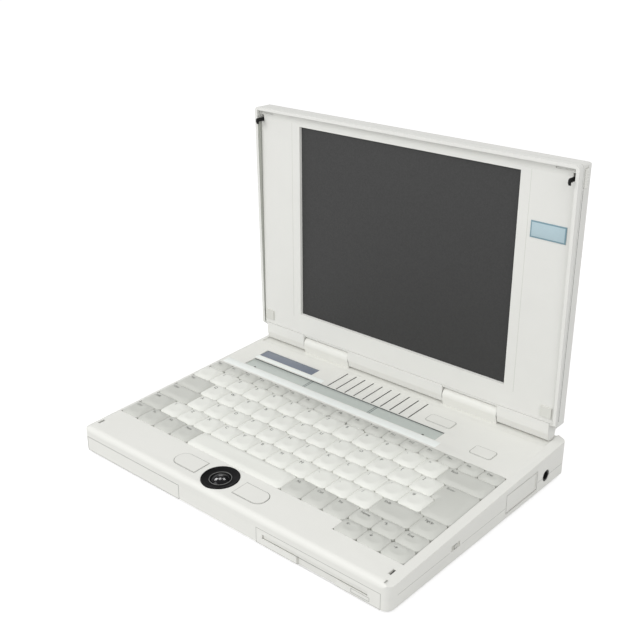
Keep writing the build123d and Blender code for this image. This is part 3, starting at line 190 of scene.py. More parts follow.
def moulded_plastic(
    name, tone, cloud=0.03, roughness=0.5, grain=GRAIN, relief=GRAIN_DEPTH, specular=0.35, radius=0.0
):
    """Matt injection-moulded plastic in one tone."""
    mat, tree, shader, coords = new_finish(name)
    light = tuple(min(1.0, c * (1 + cloud)) for c in tone)
    deep = tuple(c * (1 - cloud) for c in tone)
    broad = noise(tree, coords, CLOUD_WAVES, 4.0)
    colour = blend_colours(tree, ramp(tree, broad, 0.35, 0.65, 0.0, 1.0), deep, light)
    edge = tree.nodes.new("ShaderNodeNewGeometry").outputs["Pointiness"]
    worn = ramp(tree, edge, *WORN_EDGE, 0.0, WEAR)
    pale = tuple(min(1.0, c * 1.08 + 0.01) for c in tone)
    tree.links.new(blend_colours(tree, worn, colour, pale), shader.inputs["Base Color"])
    fine = noise(tree, coords, grain, 2.0, 0.6)
    vary_roughness(tree, shader, fine, roughness - 0.07, roughness + 0.07)
    shader.inputs["Specular IOR Level"].default_value = specular
    bump(tree, shader, fine, GRAIN_STRENGTH, relief, radius)
    return mat


EDGE_RADIUS = 0.0003
CAP_GRAIN = {"grain": 3200.0, "relief": 0.000012}
RUBBER_GRAIN = {"grain": 1800.0, "relief": 0.00003, "specular": 0.2}
case_plastic = moulded_plastic("case_plastic", linear(228, 228, 223), 0.012, 0.52, radius=EDGE_RADIUS)
lid_plastic = moulded_plastic("lid_plastic", linear(225, 225, 221), 0.012, 0.5, radius=EDGE_RADIUS)
key_white = moulded_plastic("key_white", linear(232, 233, 227), 0.01, 0.42, **CAP_GRAIN)
key_grey = moulded_plastic("key_grey", linear(203, 204, 198), 0.015, 0.42, **CAP_GRAIN)
dark_plastic = moulded_plastic("dark_plastic", linear(24, 24, 25), 0.05, 0.45)
hook_black = moulded_plastic("hook_black", linear(12, 12, 13), 0.05, 0.5, specular=0.2)
grey_rubber = moulded_plastic("grey_rubber", linear(214, 214, 208), 0.03, 0.8, **RUBBER_GRAIN)
foot_rubber = moulded_plastic("foot_rubber", linear(150, 150, 145), 0.05, 0.85, **RUBBER_GRAIN)
# Pale grey of the ring's bead: a painted highlight on the lip.
lip_highlight_grey = moulded_plastic("lip_highlight_grey", linear(118, 119, 117), 0.03, 0.5)
# Pale border beside the strip, painted paler as the highlight of a raised rib.
pale_border_highlight = moulded_plastic("pale_border_highlight", linear(240, 244, 241), 0.01, 0.45)
# Tone of painted shade for the rim's inner wall.
rim_shade = moulded_plastic("rim_shade", linear(176, 178, 171), 0.02, 0.7)
print("plastics", len(bpy.data.materials))

# %% [markdown]
# Painted shade tones and ink
#
# Gaps and parting lines are too fine to darken by themselves in a picture of this size, so
# their shade is painted: they get tones of their own, from a deep shade to a line that is
# barely there. The painted shade in the speaker slots is nearly black, and the ink of the
# legends is a soft dark grey.

# %% Fine tones
# The next three tones are painted shade for the strip's trough, the gaps and the seams.
shade_line = moulded_plastic("shade_line", linear(88, 92, 91), 0.05, 0.7)
seam_shade = moulded_plastic("seam_shade", linear(112, 113, 108), 0.05, 0.7)
faint_seam_shade = moulded_plastic("faint_seam_shade", linear(160, 161, 155), 0.05, 0.7)
frame_line = moulded_plastic("frame_line", linear(206, 207, 200), 0.02, 0.6)
divider_grey = moulded_plastic("divider_grey", linear(112, 120, 120), 0.03, 0.6)
# Painted shade for the speaker slots: a near-black tone for the dark sheets laid in them.
slot_shade = moulded_plastic(
    "slot_shade", linear(66, 67, 64), 0.08, 0.9, grain=1200.0, relief=0.00004, specular=0.1
)
ink = moulded_plastic("ink", linear(96, 97, 94), 0.05, 0.6, relief=0.0)
print("tones", len(bpy.data.materials))

# %% [markdown]
# Gloss, glass, metal and board
#
# The ball is polished black plastic: a low roughness gives the sharp lamp reflections seen
# on the real one. Its ring takes the same recipe with a duller surface. The display is a
# dark matt film. The windows and the badge have a thin clear coat. The steel inside has a
# brushed grain, which is noise stretched along one axis, and the boards have a pattern of
# tracks.

# %% Polished plastic and steel
HAZE_WAVES = 160.0
STEEL_WAVES = 260.0
STEEL_STRETCH = (1, 1, 14)


def polished_black(name, roughness):
    """Black plastic with a faint polishing haze."""
    mat, tree, shader, coords = new_finish(name)
    haze = noise(tree, coords, HAZE_WAVES, 5.0)
    colour = blend_colours(tree, haze, linear(6, 6, 7), linear(14, 14, 15))
    tree.links.new(colour, shader.inputs["Base Color"])
    vary_roughness(tree, shader, haze, roughness * 0.7, roughness * 1.3)
    shader.inputs["Specular IOR Level"].default_value = 0.16
    return mat


def brushed_steel(name, tone):
    """Plated sheet with a directional grain."""
    mat, tree, shader, coords = new_finish(name)
    mapping = tree.nodes.new("ShaderNodeMapping")
    mapping.inputs["Scale"].default_value = STEEL_STRETCH
    tree.links.new(coords, mapping.inputs["Vector"])
    grain = noise(tree, mapping.outputs["Vector"], STEEL_WAVES, 4.0)
    dark = tuple(c * 0.85 for c in tone)
    tree.links.new(blend_colours(tree, grain, dark, tone), shader.inputs["Base Color"])
    vary_roughness(tree, shader, grain, 0.28, 0.42)
    shader.inputs["Metallic"].default_value = 1.0
    bump(tree, shader, grain, 0.2, 0.00001)
    return mat


print("polished and plated finishes ready")

# %% Films and boards
FILM_CELLS = 900.0
TRACK_SCALE = 300.0


def window_film(name, tone, roughness, coat, grain=FILM_CELLS):
    """Tinted window or display surface with a faint cell structure."""
    mat, tree, shader, coords = new_finish(name)
    cells = noise(tree, coords, grain, 1.0)
    deep = tuple(c * 0.93 for c in tone)
    tree.links.new(blend_colours(tree, cells, deep, tone), shader.inputs["Base Color"])
    vary_roughness(tree, shader, cells, roughness * 0.9, roughness * 1.1)
    shader.inputs["Coat Weight"].default_value = coat
    shader.inputs["Coat Roughness"].default_value = 0.15
    return mat


def circuit_board(name):
    """Green solder mask with a pattern of copper tracks."""
    mat, tree, shader, coords = new_finish(name)
    tracks = tree.nodes.new("ShaderNodeTexBrick")
    tracks.inputs["Scale"].default_value = TRACK_SCALE
    tracks.inputs["Color1"].default_value = (*linear(36, 86, 52), 1)
    tracks.inputs["Color2"].default_value = (*linear(44, 98, 60), 1)
    tracks.inputs["Mortar"].default_value = (*linear(60, 120, 72), 1)
    tree.links.new(coords, tracks.inputs["Vector"])
    tree.links.new(tracks.outputs["Color"], shader.inputs["Base Color"])
    vary_roughness(tree, shader, noise(tree, coords, 90.0), 0.3, 0.5)
    return mat


gloss_black = polished_black("gloss_black", 0.1)
ring_black = polished_black("ring_black", 0.5)
bare_steel = brushed_steel("bare_steel", linear(176, 178, 180))
screen_film = window_film("screen_film", linear(52, 52, 52), 0.7, 0.0)
status_film = window_film("status_film", linear(118, 126, 141), 0.4, 0.3)
strip_film = window_film("strip_film", linear(196, 203, 198), 0.4, 0.3, grain=300.0)
badge_field = window_film("badge_field", linear(178, 200, 208), 0.4, 0.2)
badge_border = window_film("badge_border", linear(120, 152, 164), 0.4, 0.2)
board_green = circuit_board("board_green")
print("finishes", len(bpy.data.materials))

# %% [markdown]
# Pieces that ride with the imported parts
#
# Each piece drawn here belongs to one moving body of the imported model, so it follows when
# the lid or a key moves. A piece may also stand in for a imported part, which is then hidden.
# One helper makes the object, gives it its materials and states what it belongs to.

# %% New pieces
bodies = frame["record"]["behaviour"]["bodies"]


def body_of_node(node):
    """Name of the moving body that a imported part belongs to."""
    return next(body for body, members in bodies.items() if node in members)


def mesh_of(work, name):
    """Turns working geometry into a mesh and frees it."""
    mesh = bpy.data.meshes.new(name)
    work.to_mesh(mesh)
    work.free()
    return mesh


def new_piece(name, mesh, materials, node=None, body=None):
    """Object from a finished mesh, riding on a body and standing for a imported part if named."""
    obj = bpy.data.objects.new(name, mesh)
    bpy.context.collection.objects.link(obj)
    for material in materials:
        mesh.materials.append(material)
    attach(obj, body or body_of_node(node))
    if node:
        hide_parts(node)
    return obj


# %% [markdown]
# Rounded edges for moulded parts
#
# A real moulding has no sharp edge: every corner has a small radius that catches light.
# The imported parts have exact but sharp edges. So each of these is copied, its coplanar
# triangles are joined, and a bevel rounds every crease. The copy keeps the part's exact
# shape and place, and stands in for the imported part.

# %% Edge-softened copies
WELD = 0.002
FLAT_ANGLE = radians(0.5)
CREASE_ANGLE = radians(32)


def finish_mesh(obj, bevel=None, sharp=38.0):
    """Bakes an optional bevel into obj and gives it smooth shading with crisp creases."""
    obj.data.shade_smooth()
    if not bevel:
        obj.data.set_sharp_from_angle(angle=radians(sharp))
        return
    rounding = obj.modifiers.new("edge_radius", "BEVEL")
    rounding.width = bevel * MM
    rounding.segments = 2
    rounding.limit_method = "ANGLE"
    rounding.angle_limit = CREASE_ANGLE
    rounding.use_clamp_overlap = False
    rounding.harden_normals = True
    even = obj.modifiers.new("even_shading", "WEIGHTED_NORMAL")
    even.weight = 100
    even.keep_sharp = True
    mesh = bpy.data.meshes.new_from_object(obj.evaluated_get(bpy.context.evaluated_depsgraph_get()))
    mesh.name = obj.name
    obj.modifiers.clear()
    obj.data = mesh


def softened(node, material, bevel):
    """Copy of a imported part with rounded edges, riding with the same body."""
    work = bmesh.new()
    work.from_mesh(nodes[node].data)
    bmesh.ops.remove_doubles(work, verts=work.verts, dist=WELD * MM)
    bmesh.ops.dissolve_limit(work, angle_limit=FLAT_ANGLE, verts=work.verts, edges=work.edges)
    for face in work.faces:
        face.material_index = 0
    obj = new_piece(f"{node}_moulding", mesh_of(work, node), [material], node)
    finish_mesh(obj, bevel)
    return obj


for part, finish, radius in (
    ("dust_flap", case_plastic, 0.12), ("eject_button", case_plastic, 0.15),
    ("port_door", case_plastic, 0.12), ("contrast_slider", case_plastic, 0.1),
    ("left_click_button", case_plastic, 0.12), ("right_click_button", case_plastic, 0.12),
    ("standby_button", case_plastic, 0.12), ("power_button", case_plastic, 0.12),
    ("release_slider_left", case_plastic, 0.15), ("release_slider_right", case_plastic, 0.15),
    ("latch_hook_left", hook_black, 0.15), ("latch_hook_right", hook_black, 0.15),
    ("rubber_feet", foot_rubber, 0.4), ("bumper_pads", grey_rubber, 0.25),
    ("trackball_cup", dark_plastic, 0.2), ("battery_pack", dark_plastic, 0.3),
):
    piece = softened(part, finish, radius)
    print(part, "faces", len(piece.data.polygons))

# %% [markdown]
# Keycaps
#
# Each cap is a tapered block whose top is gently hollowed for the fingertip, with soft
# shoulders and round corners. It is built from stacked outlines: each ring is the key's
# outline drawn in a little further and lifted, and faces join the rings. One rule for
# rounding a right-angled outline serves plain caps, wide caps and the tall L-shaped Enter
# key. It holds each corner's radius to the sides beside it, so no outline crosses itself.

# %% Outline of a cap
CAP_GAP = 0.03
CORNER_STEPS = 5
CORNER_SLACK = 0.05


def right_angled_outline(corners, inset, radius):
    """Points of a right-angled outline drawn in by inset, with every corner rounded."""
    count = len(corners)
    sides = [corners[(i + 1) % count] - corners[i] for i in range(count)]
    turns = [1 if sides[i - 1].cross(sides[i]) > 0 else -1 for i in range(count)]
    room = [side.length - inset * (turns[i] + turns[(i + 1) % count]) for i, side in enumerate(sides)]
    points = []
    for i, corner in enumerate(corners):
        before, after = sides[i - 1].normalized(), sides[i].normalized()
        inward = Vector((-before.y, before.x)) + Vector((-after.y, after.x))
        tip = corner + inward * inset
        bend = min(radius, room[i - 1] / 2 - CORNER_SLACK, room[i] / 2 - CORNER_SLACK)
        centre = tip - before * bend + after * bend
        for step in range(CORNER_STEPS + 1):
            turn = step / CORNER_STEPS * pi / 2
            points.append(centre + bend * (before * sin(turn) - after * cos(turn)))
    return points


print("points per plain outline", 4 * (CORNER_STEPS + 1))

# %% [markdown]
# Rings of a cap
#
# The rings are listed from the skirt up, each as its height above the deck, how far it is
# drawn in, and the radius of its corners. Three more rings, shrunk towards the middle, make
# the hollow: it is deepest along the middle and runs out at the left and right sides.

# %% Cap mesh
CAP_RINGS = [
    (-2.4, 0.0, 2.2), (0.1, 0.02, 3.0), (0.5, 0.4, 4.2), (0.95, 1.1, 5.4),
    (1.4, 1.9, 6.0), (1.75, 2.8, 5.8), (1.95, 3.8, 4.8),
]
TOP_DISH = 0.3
DISH_SHARES = (0.8, 0.55, 0.3)
CAP_TOP, TOP_INSET, _ = CAP_RINGS[-1]


def hollow_rings(top_ring, half):
    """Rings that shrink the top outline towards a middle that is hollowed."""
    rings = []
    for share in DISH_SHARES:
        spread = [(px * share, py * share) for px, py, _ in top_ring]
        depth = TOP_DISH * (1 - share) ** 0.5
        rings.append([(px, py, CAP_TOP - depth * (1 - (px / half) ** 2)) for px, py in spread])
    return rings


def cap_mesh(work, corners, x, s):
    """Adds one cap over an outline centred at x, s on the deck; plain caps are hollowed."""
    rings = []
    for h, inset, radius in CAP_RINGS:
        rings.append([(p.x, p.y, h) for p in right_angled_outline(corners, inset, radius)])
    if len(corners) == 4:
        rings += hollow_rings(rings[-1], max(c.x for c in corners) - TOP_INSET)
    made = [[work.verts.new(on_deck(x + px, s + py, h)) for px, py, h in ring] for ring in rings]
    count = len(made[0])
    for low, high in zip(made, made[1:]):
        for i in range(count):
            j = (i + 1) % count
            work.faces.new((low[i], low[j], high[j], high[i]))
    work.faces.new(made[-1])
    work.faces.new(list(reversed(made[0])))


print("rings per cap", len(CAP_RINGS) + len(DISH_SHARES))

# %% [markdown]
# The keyboard's plan
#
# The keys follow the 19 mm pitch of a full-size keyboard, fifteen pitches wide, with the
# tall Enter key of the European layout and a small block of cursor keys that dips into the
# palm rest. The plan lists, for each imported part, where its caps stand and what they say.

# %% Rows of keys
PITCH = 19.0
COLUMNS = 15
LEFT_EDGE = -COLUMNS / 2 * PITCH
FIRST_ROW = 32.4
TOP_ROW = 12.6
CURSOR_ROW = 14.85
CURSOR_DIP = 10.7
CURSOR_START = 12
key_plan = {}


def lay_row(start, s, keys, depth=PITCH):
    """Places keys (part, width in pitches, legend) from a start column along one row."""
    x = LEFT_EDGE + start * PITCH
    for part, units, legend in keys:
        width = units * PITCH
        key_plan.setdefault(part, []).append((x + width / 2, s, width, depth, legend))
        x += width


def alike(part, legends, units=1):
    """Keys of one part and width, one for each letter or word."""
    return [(part, units, legend) for legend in legends]


row_middle = [FIRST_ROW + PITCH * (i + 0.5) for i in range(5)]
lay_row(0, row_middle[4], alike("number_keys", "`1234567890-=") + [("backspace_key", 2, "Back")])
lay_row(0, row_middle[3], [("tab_key", 1.5, "Tab")] + alike("upper_letter_keys", "QWERTYUIOP[]"))
lay_row(0, row_middle[2], [("caps_key", 1.75, "Caps")] + alike("home_letter_keys", "ASDFGHJKL;'#"))
lay_row(0, row_middle[1], [
    ("left_shift_key", 1.25, "Shift"), *alike("lower_letter_keys", "\\ZXCVBNM,./"),
    ("right_shift_key", 1.75, "Shift"), ("right_modifier_keys", 1, "PgUp"),
])
lay_row(0, row_middle[0], [
    *alike("left_modifier_keys", ("Ctrl", "Fn", "Alt", "Num")), ("space_bar", 5, ""),
    *alike("right_modifier_keys", ("Alt", "Ctrl", "Ins")),
])
for row, words in enumerate((("\u2190", "\u2193", "\u2192"), ("Home", "\u2191", "End"))):
    middle = FIRST_ROW - CURSOR_DIP + CURSOR_ROW * (row + 0.5)
    lay_row(CURSOR_START, middle, alike("cursor_keys", words), CURSOR_ROW)
top_legends = ["Esc", *(f"F{i}" for i in range(1, 13)), "Prt", "Pau", "Ins", "Del"]
top_middle = FIRST_ROW + 5 * PITCH + TOP_ROW / 2
lay_row(0, top_middle, alike("function_keys", top_legends, COLUMNS / len(top_legends)), TOP_ROW)
print("keys", sum(len(keys) for keys in key_plan.values()) + 1)

# %% [markdown]
# Printed legends
#
# The letters are pad-printed near the rear left corner of each cap in dark grey. Text
# objects give clean outlines, so each legend is typeset, turned into a flat mesh and laid
# a hair above the cap. All the legends of a row join that row's own mesh.

# %% Typeset legends
LETTER_SIZE = 3.8
WORD_SIZE = 3.0
CAPITAL_SHARE = 0.7
LEGEND_SIDE = 4.6
LEGEND_REAR = 4.4
LEGEND_LIFT = 0.03
legend_cache = {}


def legend_shape(text):
    """Flat outline of one legend as (points, faces), one unit high."""
    if text not in legend_cache:
        curve = bpy.data.curves.new("legend", "FONT")
        curve.body = text
        curve.size = 1.0
        curve.resolution_u = 3
        sheet = bpy.data.objects.new("legend", curve)
        bpy.context.collection.objects.link(sheet)
        bpy.context.view_layer.update()
        flat = bpy.data.meshes.new_from_object(sheet.evaluated_get(bpy.context.evaluated_depsgraph_get()))
        points = [v.co.copy() for v in flat.vertices]
        legend_cache[text] = (points, [tuple(p.vertices) for p in flat.polygons])
        bpy.data.objects.remove(sheet)
        bpy.data.curves.remove(curve)
        bpy.data.meshes.remove(flat)
    return legend_cache[text]


def print_legend(work, text, x, s, width, depth):
    """Adds a legend to a key mesh as faces of the second material."""
    if not text:
        return
    points, faces = legend_shape(text)
    size = LETTER_SIZE if len(text) == 1 else WORD_SIZE
    left = x - width / 2 + LEGEND_SIDE
    low = s + depth / 2 - LEGEND_REAR - size * CAPITAL_SHARE
    height = CAP_TOP + LEGEND_LIFT
    verts = [work.verts.new(on_deck(left + p.x * size, low + p.y * size, height)) for p in points]
    for face in faces:
        work.faces.new([verts[i] for i in face]).material_index = 1


print("legends", sum(len(keys) for keys in key_plan.values()))

# %% [markdown]
# Caps row by row
#
# Letters, digits and the space bar are nearly white, and the other keys are grey. All the
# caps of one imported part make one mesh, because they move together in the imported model.

# %% Plain caps
CAP_CREASE = 50
WHITE_PARTS = ("number_keys", "upper_letter_keys", "home_letter_keys", "lower_letter_keys", "space_bar")
for part, keys in key_plan.items():
    work = bmesh.new()
    for x, s, width, depth, legend in keys:
        a, b = (width - CAP_GAP) / 2, (depth - CAP_GAP) / 2
        cap_mesh(work, [Vector(p) for p in ((-a, -b), (a, -b), (a, b), (-a, b))], x, s)
        print_legend(work, legend, x, s, width, depth)
    finish = key_white if part in WHITE_PARTS else key_grey
    finish_mesh(new_piece(f"{part}_caps", mesh_of(work, part), [finish, ink], part), sharp=CAP_CREASE)
    print(part, len(keys), "caps")

# %% [markdown]
# The tall Enter key
#
# This cap spans two rows and is a quarter of a pitch narrower in the lower one. Its six
# corners go through the same outline rule, and its broad top stays flat.

# %% Tall Enter key
ENTER_WIDTH = 1.5 * PITCH
ENTER_STEP = 0.25 * PITCH
enter_x, enter_s = LEFT_EDGE + COLUMNS * PITCH - ENTER_WIDTH / 2, FIRST_ROW + 3 * PITCH
right, rear, inner = (ENTER_WIDTH - CAP_GAP) / 2, PITCH - CAP_GAP / 2, CAP_GAP / 2
enter_corners = [Vector(p) for p in (
    (ENTER_STEP - right, -rear), (right, -rear), (right, rear),
    (-right, rear), (-right, inner), (ENTER_STEP - right, inner),
)]
work = bmesh.new()
cap_mesh(work, enter_corners, enter_x, enter_s)
print_legend(work, "Enter", enter_x, enter_s, ENTER_WIDTH, 2 * PITCH)
enter_cap = new_piece("enter_key_cap", mesh_of(work, "enter_key"), [key_grey, ink], "enter_key")
finish_mesh(enter_cap, sharp=CAP_CREASE)
print("Enter key at", enter_x, enter_s)

# %% [markdown]
# Ball and retaining ring
#
# The ball sits low in a ring that twists out for cleaning, and a fine bead runs round the
# ring's inner lip. Its pale grey is a painted highlight, the light that the lip catches. All
# three are turned shapes: a cross-section is drawn once and swept round an axis. Turning in
# code gives even quads, which reflect the lamps cleanly.

# %% Sweep helper
def swept(name, section, place, turns, closed):
    """Mesh of a section carried round; place(angle, radius, height) gives each point."""
    work = bmesh.new()
    rings = []
    for k in range(turns):
        angle = 2 * pi * k / turns
        rings.append([work.verts.new(place(angle, r, h)) for r, h in section])
    count = len(section)
    for here, there in zip(rings, rings[1:] + rings[:1]):
        for i in range(count if closed else count - 1):
            j = (i + 1) % count
            work.faces.new((here[i], there[i], there[j], here[j]))
    bmesh.ops.remove_doubles(work, verts=work.verts, dist=0.001 * MM)
    bmesh.ops.recalc_face_normals(work, faces=work.faces)
    return mesh_of(work, name)


print("sweep helper ready")

# %% Ball ring
BALL_X, BALL_S = -13.1, 16.9
RING_TURNS = 96
RING_CREASE = 40


def round_the_ball(angle, r, h):
    """Point at a radius from the ball's middle and a height above the deck."""
    return on_deck(BALL_X + r * cos(angle), BALL_S + r * sin(angle), h)


ring_section = [
    (7.3, -1.4), (7.45, -1.0), (7.7, -0.72), (8.0, -0.66), (8.25, -0.8), (8.6, -0.95),
    (9.4, -0.9), (10.4, -0.72), (11.6, -0.35), (12.6, 0.1), (13.1, 0.4), (13.5, 0.5),
    (13.85, 0.38), (14.0, 0.0), (14.0, -2.0), (8.3, -2.6),
]
ring_mesh = swept("ball_ring", ring_section, round_the_ball, RING_TURNS, closed=True)
finish_mesh(new_piece("ball_ring", ring_mesh, [ring_black], "trackball_ring"), sharp=RING_CREASE)
print("ring faces", len(ring_mesh.polygons))

# %% Bead inside the ring
BEAD_RADIUS = 7.95
BEAD_HEIGHT = -0.6
BEAD_HALF = 0.24
bead_section = []
for k in range(8):
    angle = pi * k / 4
    bead_section.append((BEAD_RADIUS + BEAD_HALF * cos(angle), BEAD_HEIGHT + BEAD_HALF * sin(angle)))
bead_mesh = swept("ring_bead", bead_section, round_the_ball, RING_TURNS, closed=True)
ring_body = body_of_node("trackball_ring")
# The bead's grey tone is a painted highlight on the ring's lip.
bead = new_piece("ring_bead", bead_mesh, [lip_highlight_grey], body=ring_body)
finish_mesh(bead, sharp=RING_CREASE)
print("bead radius", BEAD_RADIUS)

# %% Polished ball
BALL_RADIUS = 9.5
BALL_DEPTH = 7.8
BALL_TURNS = 80
ARC_STEPS = 40
ball_arc = []
for k in range(ARC_STEPS + 1):
    angle = pi * k / ARC_STEPS
    ball_arc.append((BALL_RADIUS * sin(angle), -BALL_DEPTH + BALL_RADIUS * cos(angle)))
ball_mesh = swept("polished_ball", ball_arc, round_the_ball, BALL_TURNS, closed=False)
finish_mesh(new_piece("polished_ball", ball_mesh, [gloss_black], "track_ball"), sharp=RING_CREASE)
print("ball faces", len(ball_mesh.polygons))

# %% [markdown]
# Friction washers in the hinge
#
# A stiff hinge holds the lid at any angle because dark washers rub between its knuckles.
# Four of them show as thin dark lines across the barrel. Each is a flat ring turned about
# the hinge axis, thinner than the gap it sits in.

# %% Washers
KNUCKLES = (47.6, 97.4)
KNUCKLE_GAP = 0.4
WASHER_RADIUS = 5.9
WASHER_BORE = 2.7
WASHER_HALF = 0.12
WASHER_TURNS = 48
pin_low, pin_high = corners_of("hinge_pins")
axis_y = (pin_low[1] + pin_high[1]) / 2
axis_z = (pin_low[2] + pin_high[2]) / 2
washer_section = [
    (WASHER_BORE, -WASHER_HALF), (WASHER_RADIUS, -WASHER_HALF),
    (WASHER_RADIUS, WASHER_HALF), (WASHER_BORE, WASHER_HALF),
]


def washer(name, x):
    """Flat ring round the hinge axis with its middle at x."""
    def place(angle, r, h):
        return (x + h) * MM, (axis_y + r * cos(angle)) * MM, (axis_z + r * sin(angle)) * MM

    mesh = swept(name, washer_section, place, WASHER_TURNS, closed=True)
    finish_mesh(new_piece(name, mesh, [dark_plastic], body="base"))


tower_end, barrel_end = KNUCKLES[0] + KNUCKLE_GAP / 2, KNUCKLES[1] - KNUCKLE_GAP / 2
for k, x in enumerate((-barrel_end, -tower_end, tower_end, barrel_end)):
    washer(f"hinge_washer_{k}", x)
print("hinge axis at", round(axis_y, 2), round(axis_z, 2))

# %% [markdown]
# Thin plates
#
# Films, windows, trims and lines are all thin plates: some stand straight in the lid or the
# sides, and some lie on the sloping deck. Each starts as a unit block that a matrix
# stretches and puts in place, and its edges are rounded where they can be seen.

# %% Plates
def plate(name, matrix, material, bevel, node=None, body=None, slot=None):
    """Unit block put in place by a matrix, edges rounded if a bevel is given."""
    work = bmesh.new()
    bmesh.ops.create_cube(work, size=1.0)
    bmesh.ops.transform(work, matrix=matrix, verts=work.verts)
    if bevel:
        bmesh.ops.bevel(
            work, geom=work.edges[:], offset=bevel * MM, segments=2, affect="EDGES", profile=0.5
        )
    obj = new_piece(name, mesh_of(work, name), [material], node, body)
    if bevel:
        finish_mesh(obj)


def slab(name, low, high, material, bevel, **belongs):
    """Plate between two corners in millimetres."""
    size = [(b - a) * MM for a, b in zip(low, high)]
    middle = [(a + b) / 2 * MM for a, b in zip(low, high)]
    matrix = Matrix.Translation(middle) @ Matrix.Diagonal((*size, 1.0))
    plate(name, matrix, material, bevel, **belongs)


def deck_slab(name, place, size, levels, material, bevel, **belongs):
    """Plate on the deck: place and size are across and up the slope, levels above it."""
    (x, s), (length, width), (top, bottom) = place, size, levels
    middle = Matrix.Translation((x * MM, s * MM, (top + bottom) / 2 * MM))
    stretch = Matrix.Diagonal((length * MM, width * MM, (top - bottom) * MM, 1.0))
    plate(name, deck_frame @ middle @ stretch, material, bevel, **belongs)


print("plate helpers ready")

# %% [markdown]
# The display and its frame
#
# The picture area is a dark matt film set back behind the bezel's bevelled window. A thin
# line frames it, which is where the bezel meets the display's own carrier. The film is a
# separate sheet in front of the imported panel, so the panel keeps its body inside.

# %% Display film
FILM_HALF_WIDTH = 103.0
FILM_HALF_HEIGHT = 83.0
FILM_NEAR, FILM_FAR = 0.35, 0.05
panel_low, panel_high = corners_of("lcd_panel")
panel_middle = (panel_low[2] + panel_high[2]) / 2
film_low = (-FILM_HALF_WIDTH, panel_low[1] - FILM_NEAR, panel_middle - FILM_HALF_HEIGHT)
film_high = (FILM_HALF_WIDTH, panel_low[1] - FILM_FAR, panel_middle + FILM_HALF_HEIGHT)
slab("display_film", film_low, film_high, screen_film, 0.05, body="lid", slot="screen_film")
print("film in front of", round(panel_low[1], 2))

# %% Line of the display's frame
FACE_Y = 92.0
FACE_PROUD = FACE_Y - 0.03
LINE_SUNK = FACE_Y + 0.2
LINE_SIDE = 109.3
LINE_TOP = 230.0
LINE_FOOT = 62.0
LINE_HALF = 0.2
for side, word in ((-1, "left"), (1, "right")):
    x = side * LINE_SIDE
    line_low = (x - LINE_HALF, FACE_PROUD, LINE_FOOT)
    line_high = (x + LINE_HALF, LINE_SUNK, LINE_TOP)
    slab(f"frame_line_{word}", line_low, line_high, frame_line, 0.02, body="lid", slot="case_plastic")
line_low = (-LINE_SIDE, FACE_PROUD, LINE_TOP - LINE_HALF)
line_high = (LINE_SIDE, LINE_SUNK, LINE_TOP + LINE_HALF)
slab("frame_line_top", line_low, line_high, frame_line, 0.02, body="lid", slot="case_plastic")
print("frame lines from", LINE_FOOT, "to", LINE_TOP)

# %% [markdown]
# Badge plate
#
# A small pale blue plate with a darker border is let into the bezel. It stays blank. The
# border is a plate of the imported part's own size, and the field is a thinner one on top.

# %% Badge plate, kept blank
BADGE_BORDER = 1.0
low, high = corners_of("badge_plate")
slab("badge_border_plate", low, high, badge_border, 0.12, node="badge_plate")
field_low = (low[0] + BADGE_BORDER, low[1] - 0.06, low[2] + BADGE_BORDER)
field_high = (high[0] - BADGE_BORDER, low[1] + 0.1, high[2] - BADGE_BORDER)
slab("badge_field_plate", field_low, field_high, badge_field, 0.04, body="lid", slot="badge_blue")
print("badge", [round(c, 1) for c in low])

# %% [markdown]
# Windows behind the keyboard
#
# Two windows sit in the rear deck: a narrow blue-grey status display, and a long tinted
# strip with lamps behind it. The strip is divided in three by pairs of thin bars. It lies
# in a shallow trough, so its rear edge shows a dark line of painted shade. Pale bands run
# beside it: a pale border, painted paler still as the highlight of a raised rib. A dark
# sheet of painted shade lies in each of the ten speaker slots, so they read as even dark
# lines.

# %% Status window and strip
STATUS_PLACE, STATUS_SIZE, STATUS_LEVELS = (-93.4, 174.6), (59.8, 10.4), (-0.3, -2.2)
STRIP_X, STRIP_S = -23.7, 156.5
STRIP_SIZE = (197.4, 12.4)
STRIP_TOP = -0.9
STRIP_UNDER = -1.5
SHADE_SIZE = (197.2, 0.22)
SHADE_BACK = 6.16
DIVIDERS = (-57.3, -55.6, 10.2, 11.9)
DIVIDER_SIZE = (0.7, 12.0)
LENSES = (-112.0, 63.0)
LENS_SIZE = (1.5, 1.3)
LENS_S = 151.6
deck_slab("status_window", STATUS_PLACE, STATUS_SIZE, STATUS_LEVELS, status_film, 0.1, node="status_lcd")
levels = (STRIP_TOP, STRIP_UNDER)
deck_slab("lamp_strip", (STRIP_X, STRIP_S), STRIP_SIZE, levels, strip_film, 0.1, node="indicator_strip")
on_glass = {"body": "base", "slot": "tinted_window"}
on_base = {"body": "base", "slot": "case_plastic"}
dark_on_base = {"body": "base", "slot": "dark_plastic"}
for k, x in enumerate(DIVIDERS):
    levels = (STRIP_TOP + 0.04, STRIP_TOP - 0.1)
    deck_slab(f"strip_divider_{k}", (x, STRIP_S), DIVIDER_SIZE, levels, divider_grey, 0.05, **on_glass)
for k, x in enumerate(LENSES):
    levels = (STRIP_TOP + 0.1, STRIP_TOP - 0.1)
    deck_slab(f"strip_lens_{k}", (x, LENS_S), LENS_SIZE, levels, dark_plastic, 0.3, **dark_on_base)
place, levels = (STRIP_X, STRIP_S + SHADE_BACK), (STRIP_TOP + 0.6, STRIP_TOP)
deck_slab("strip_rear_shade", place, SHADE_SIZE, levels, shade_line, 0.05, **dark_on_base)
print("windows laid")
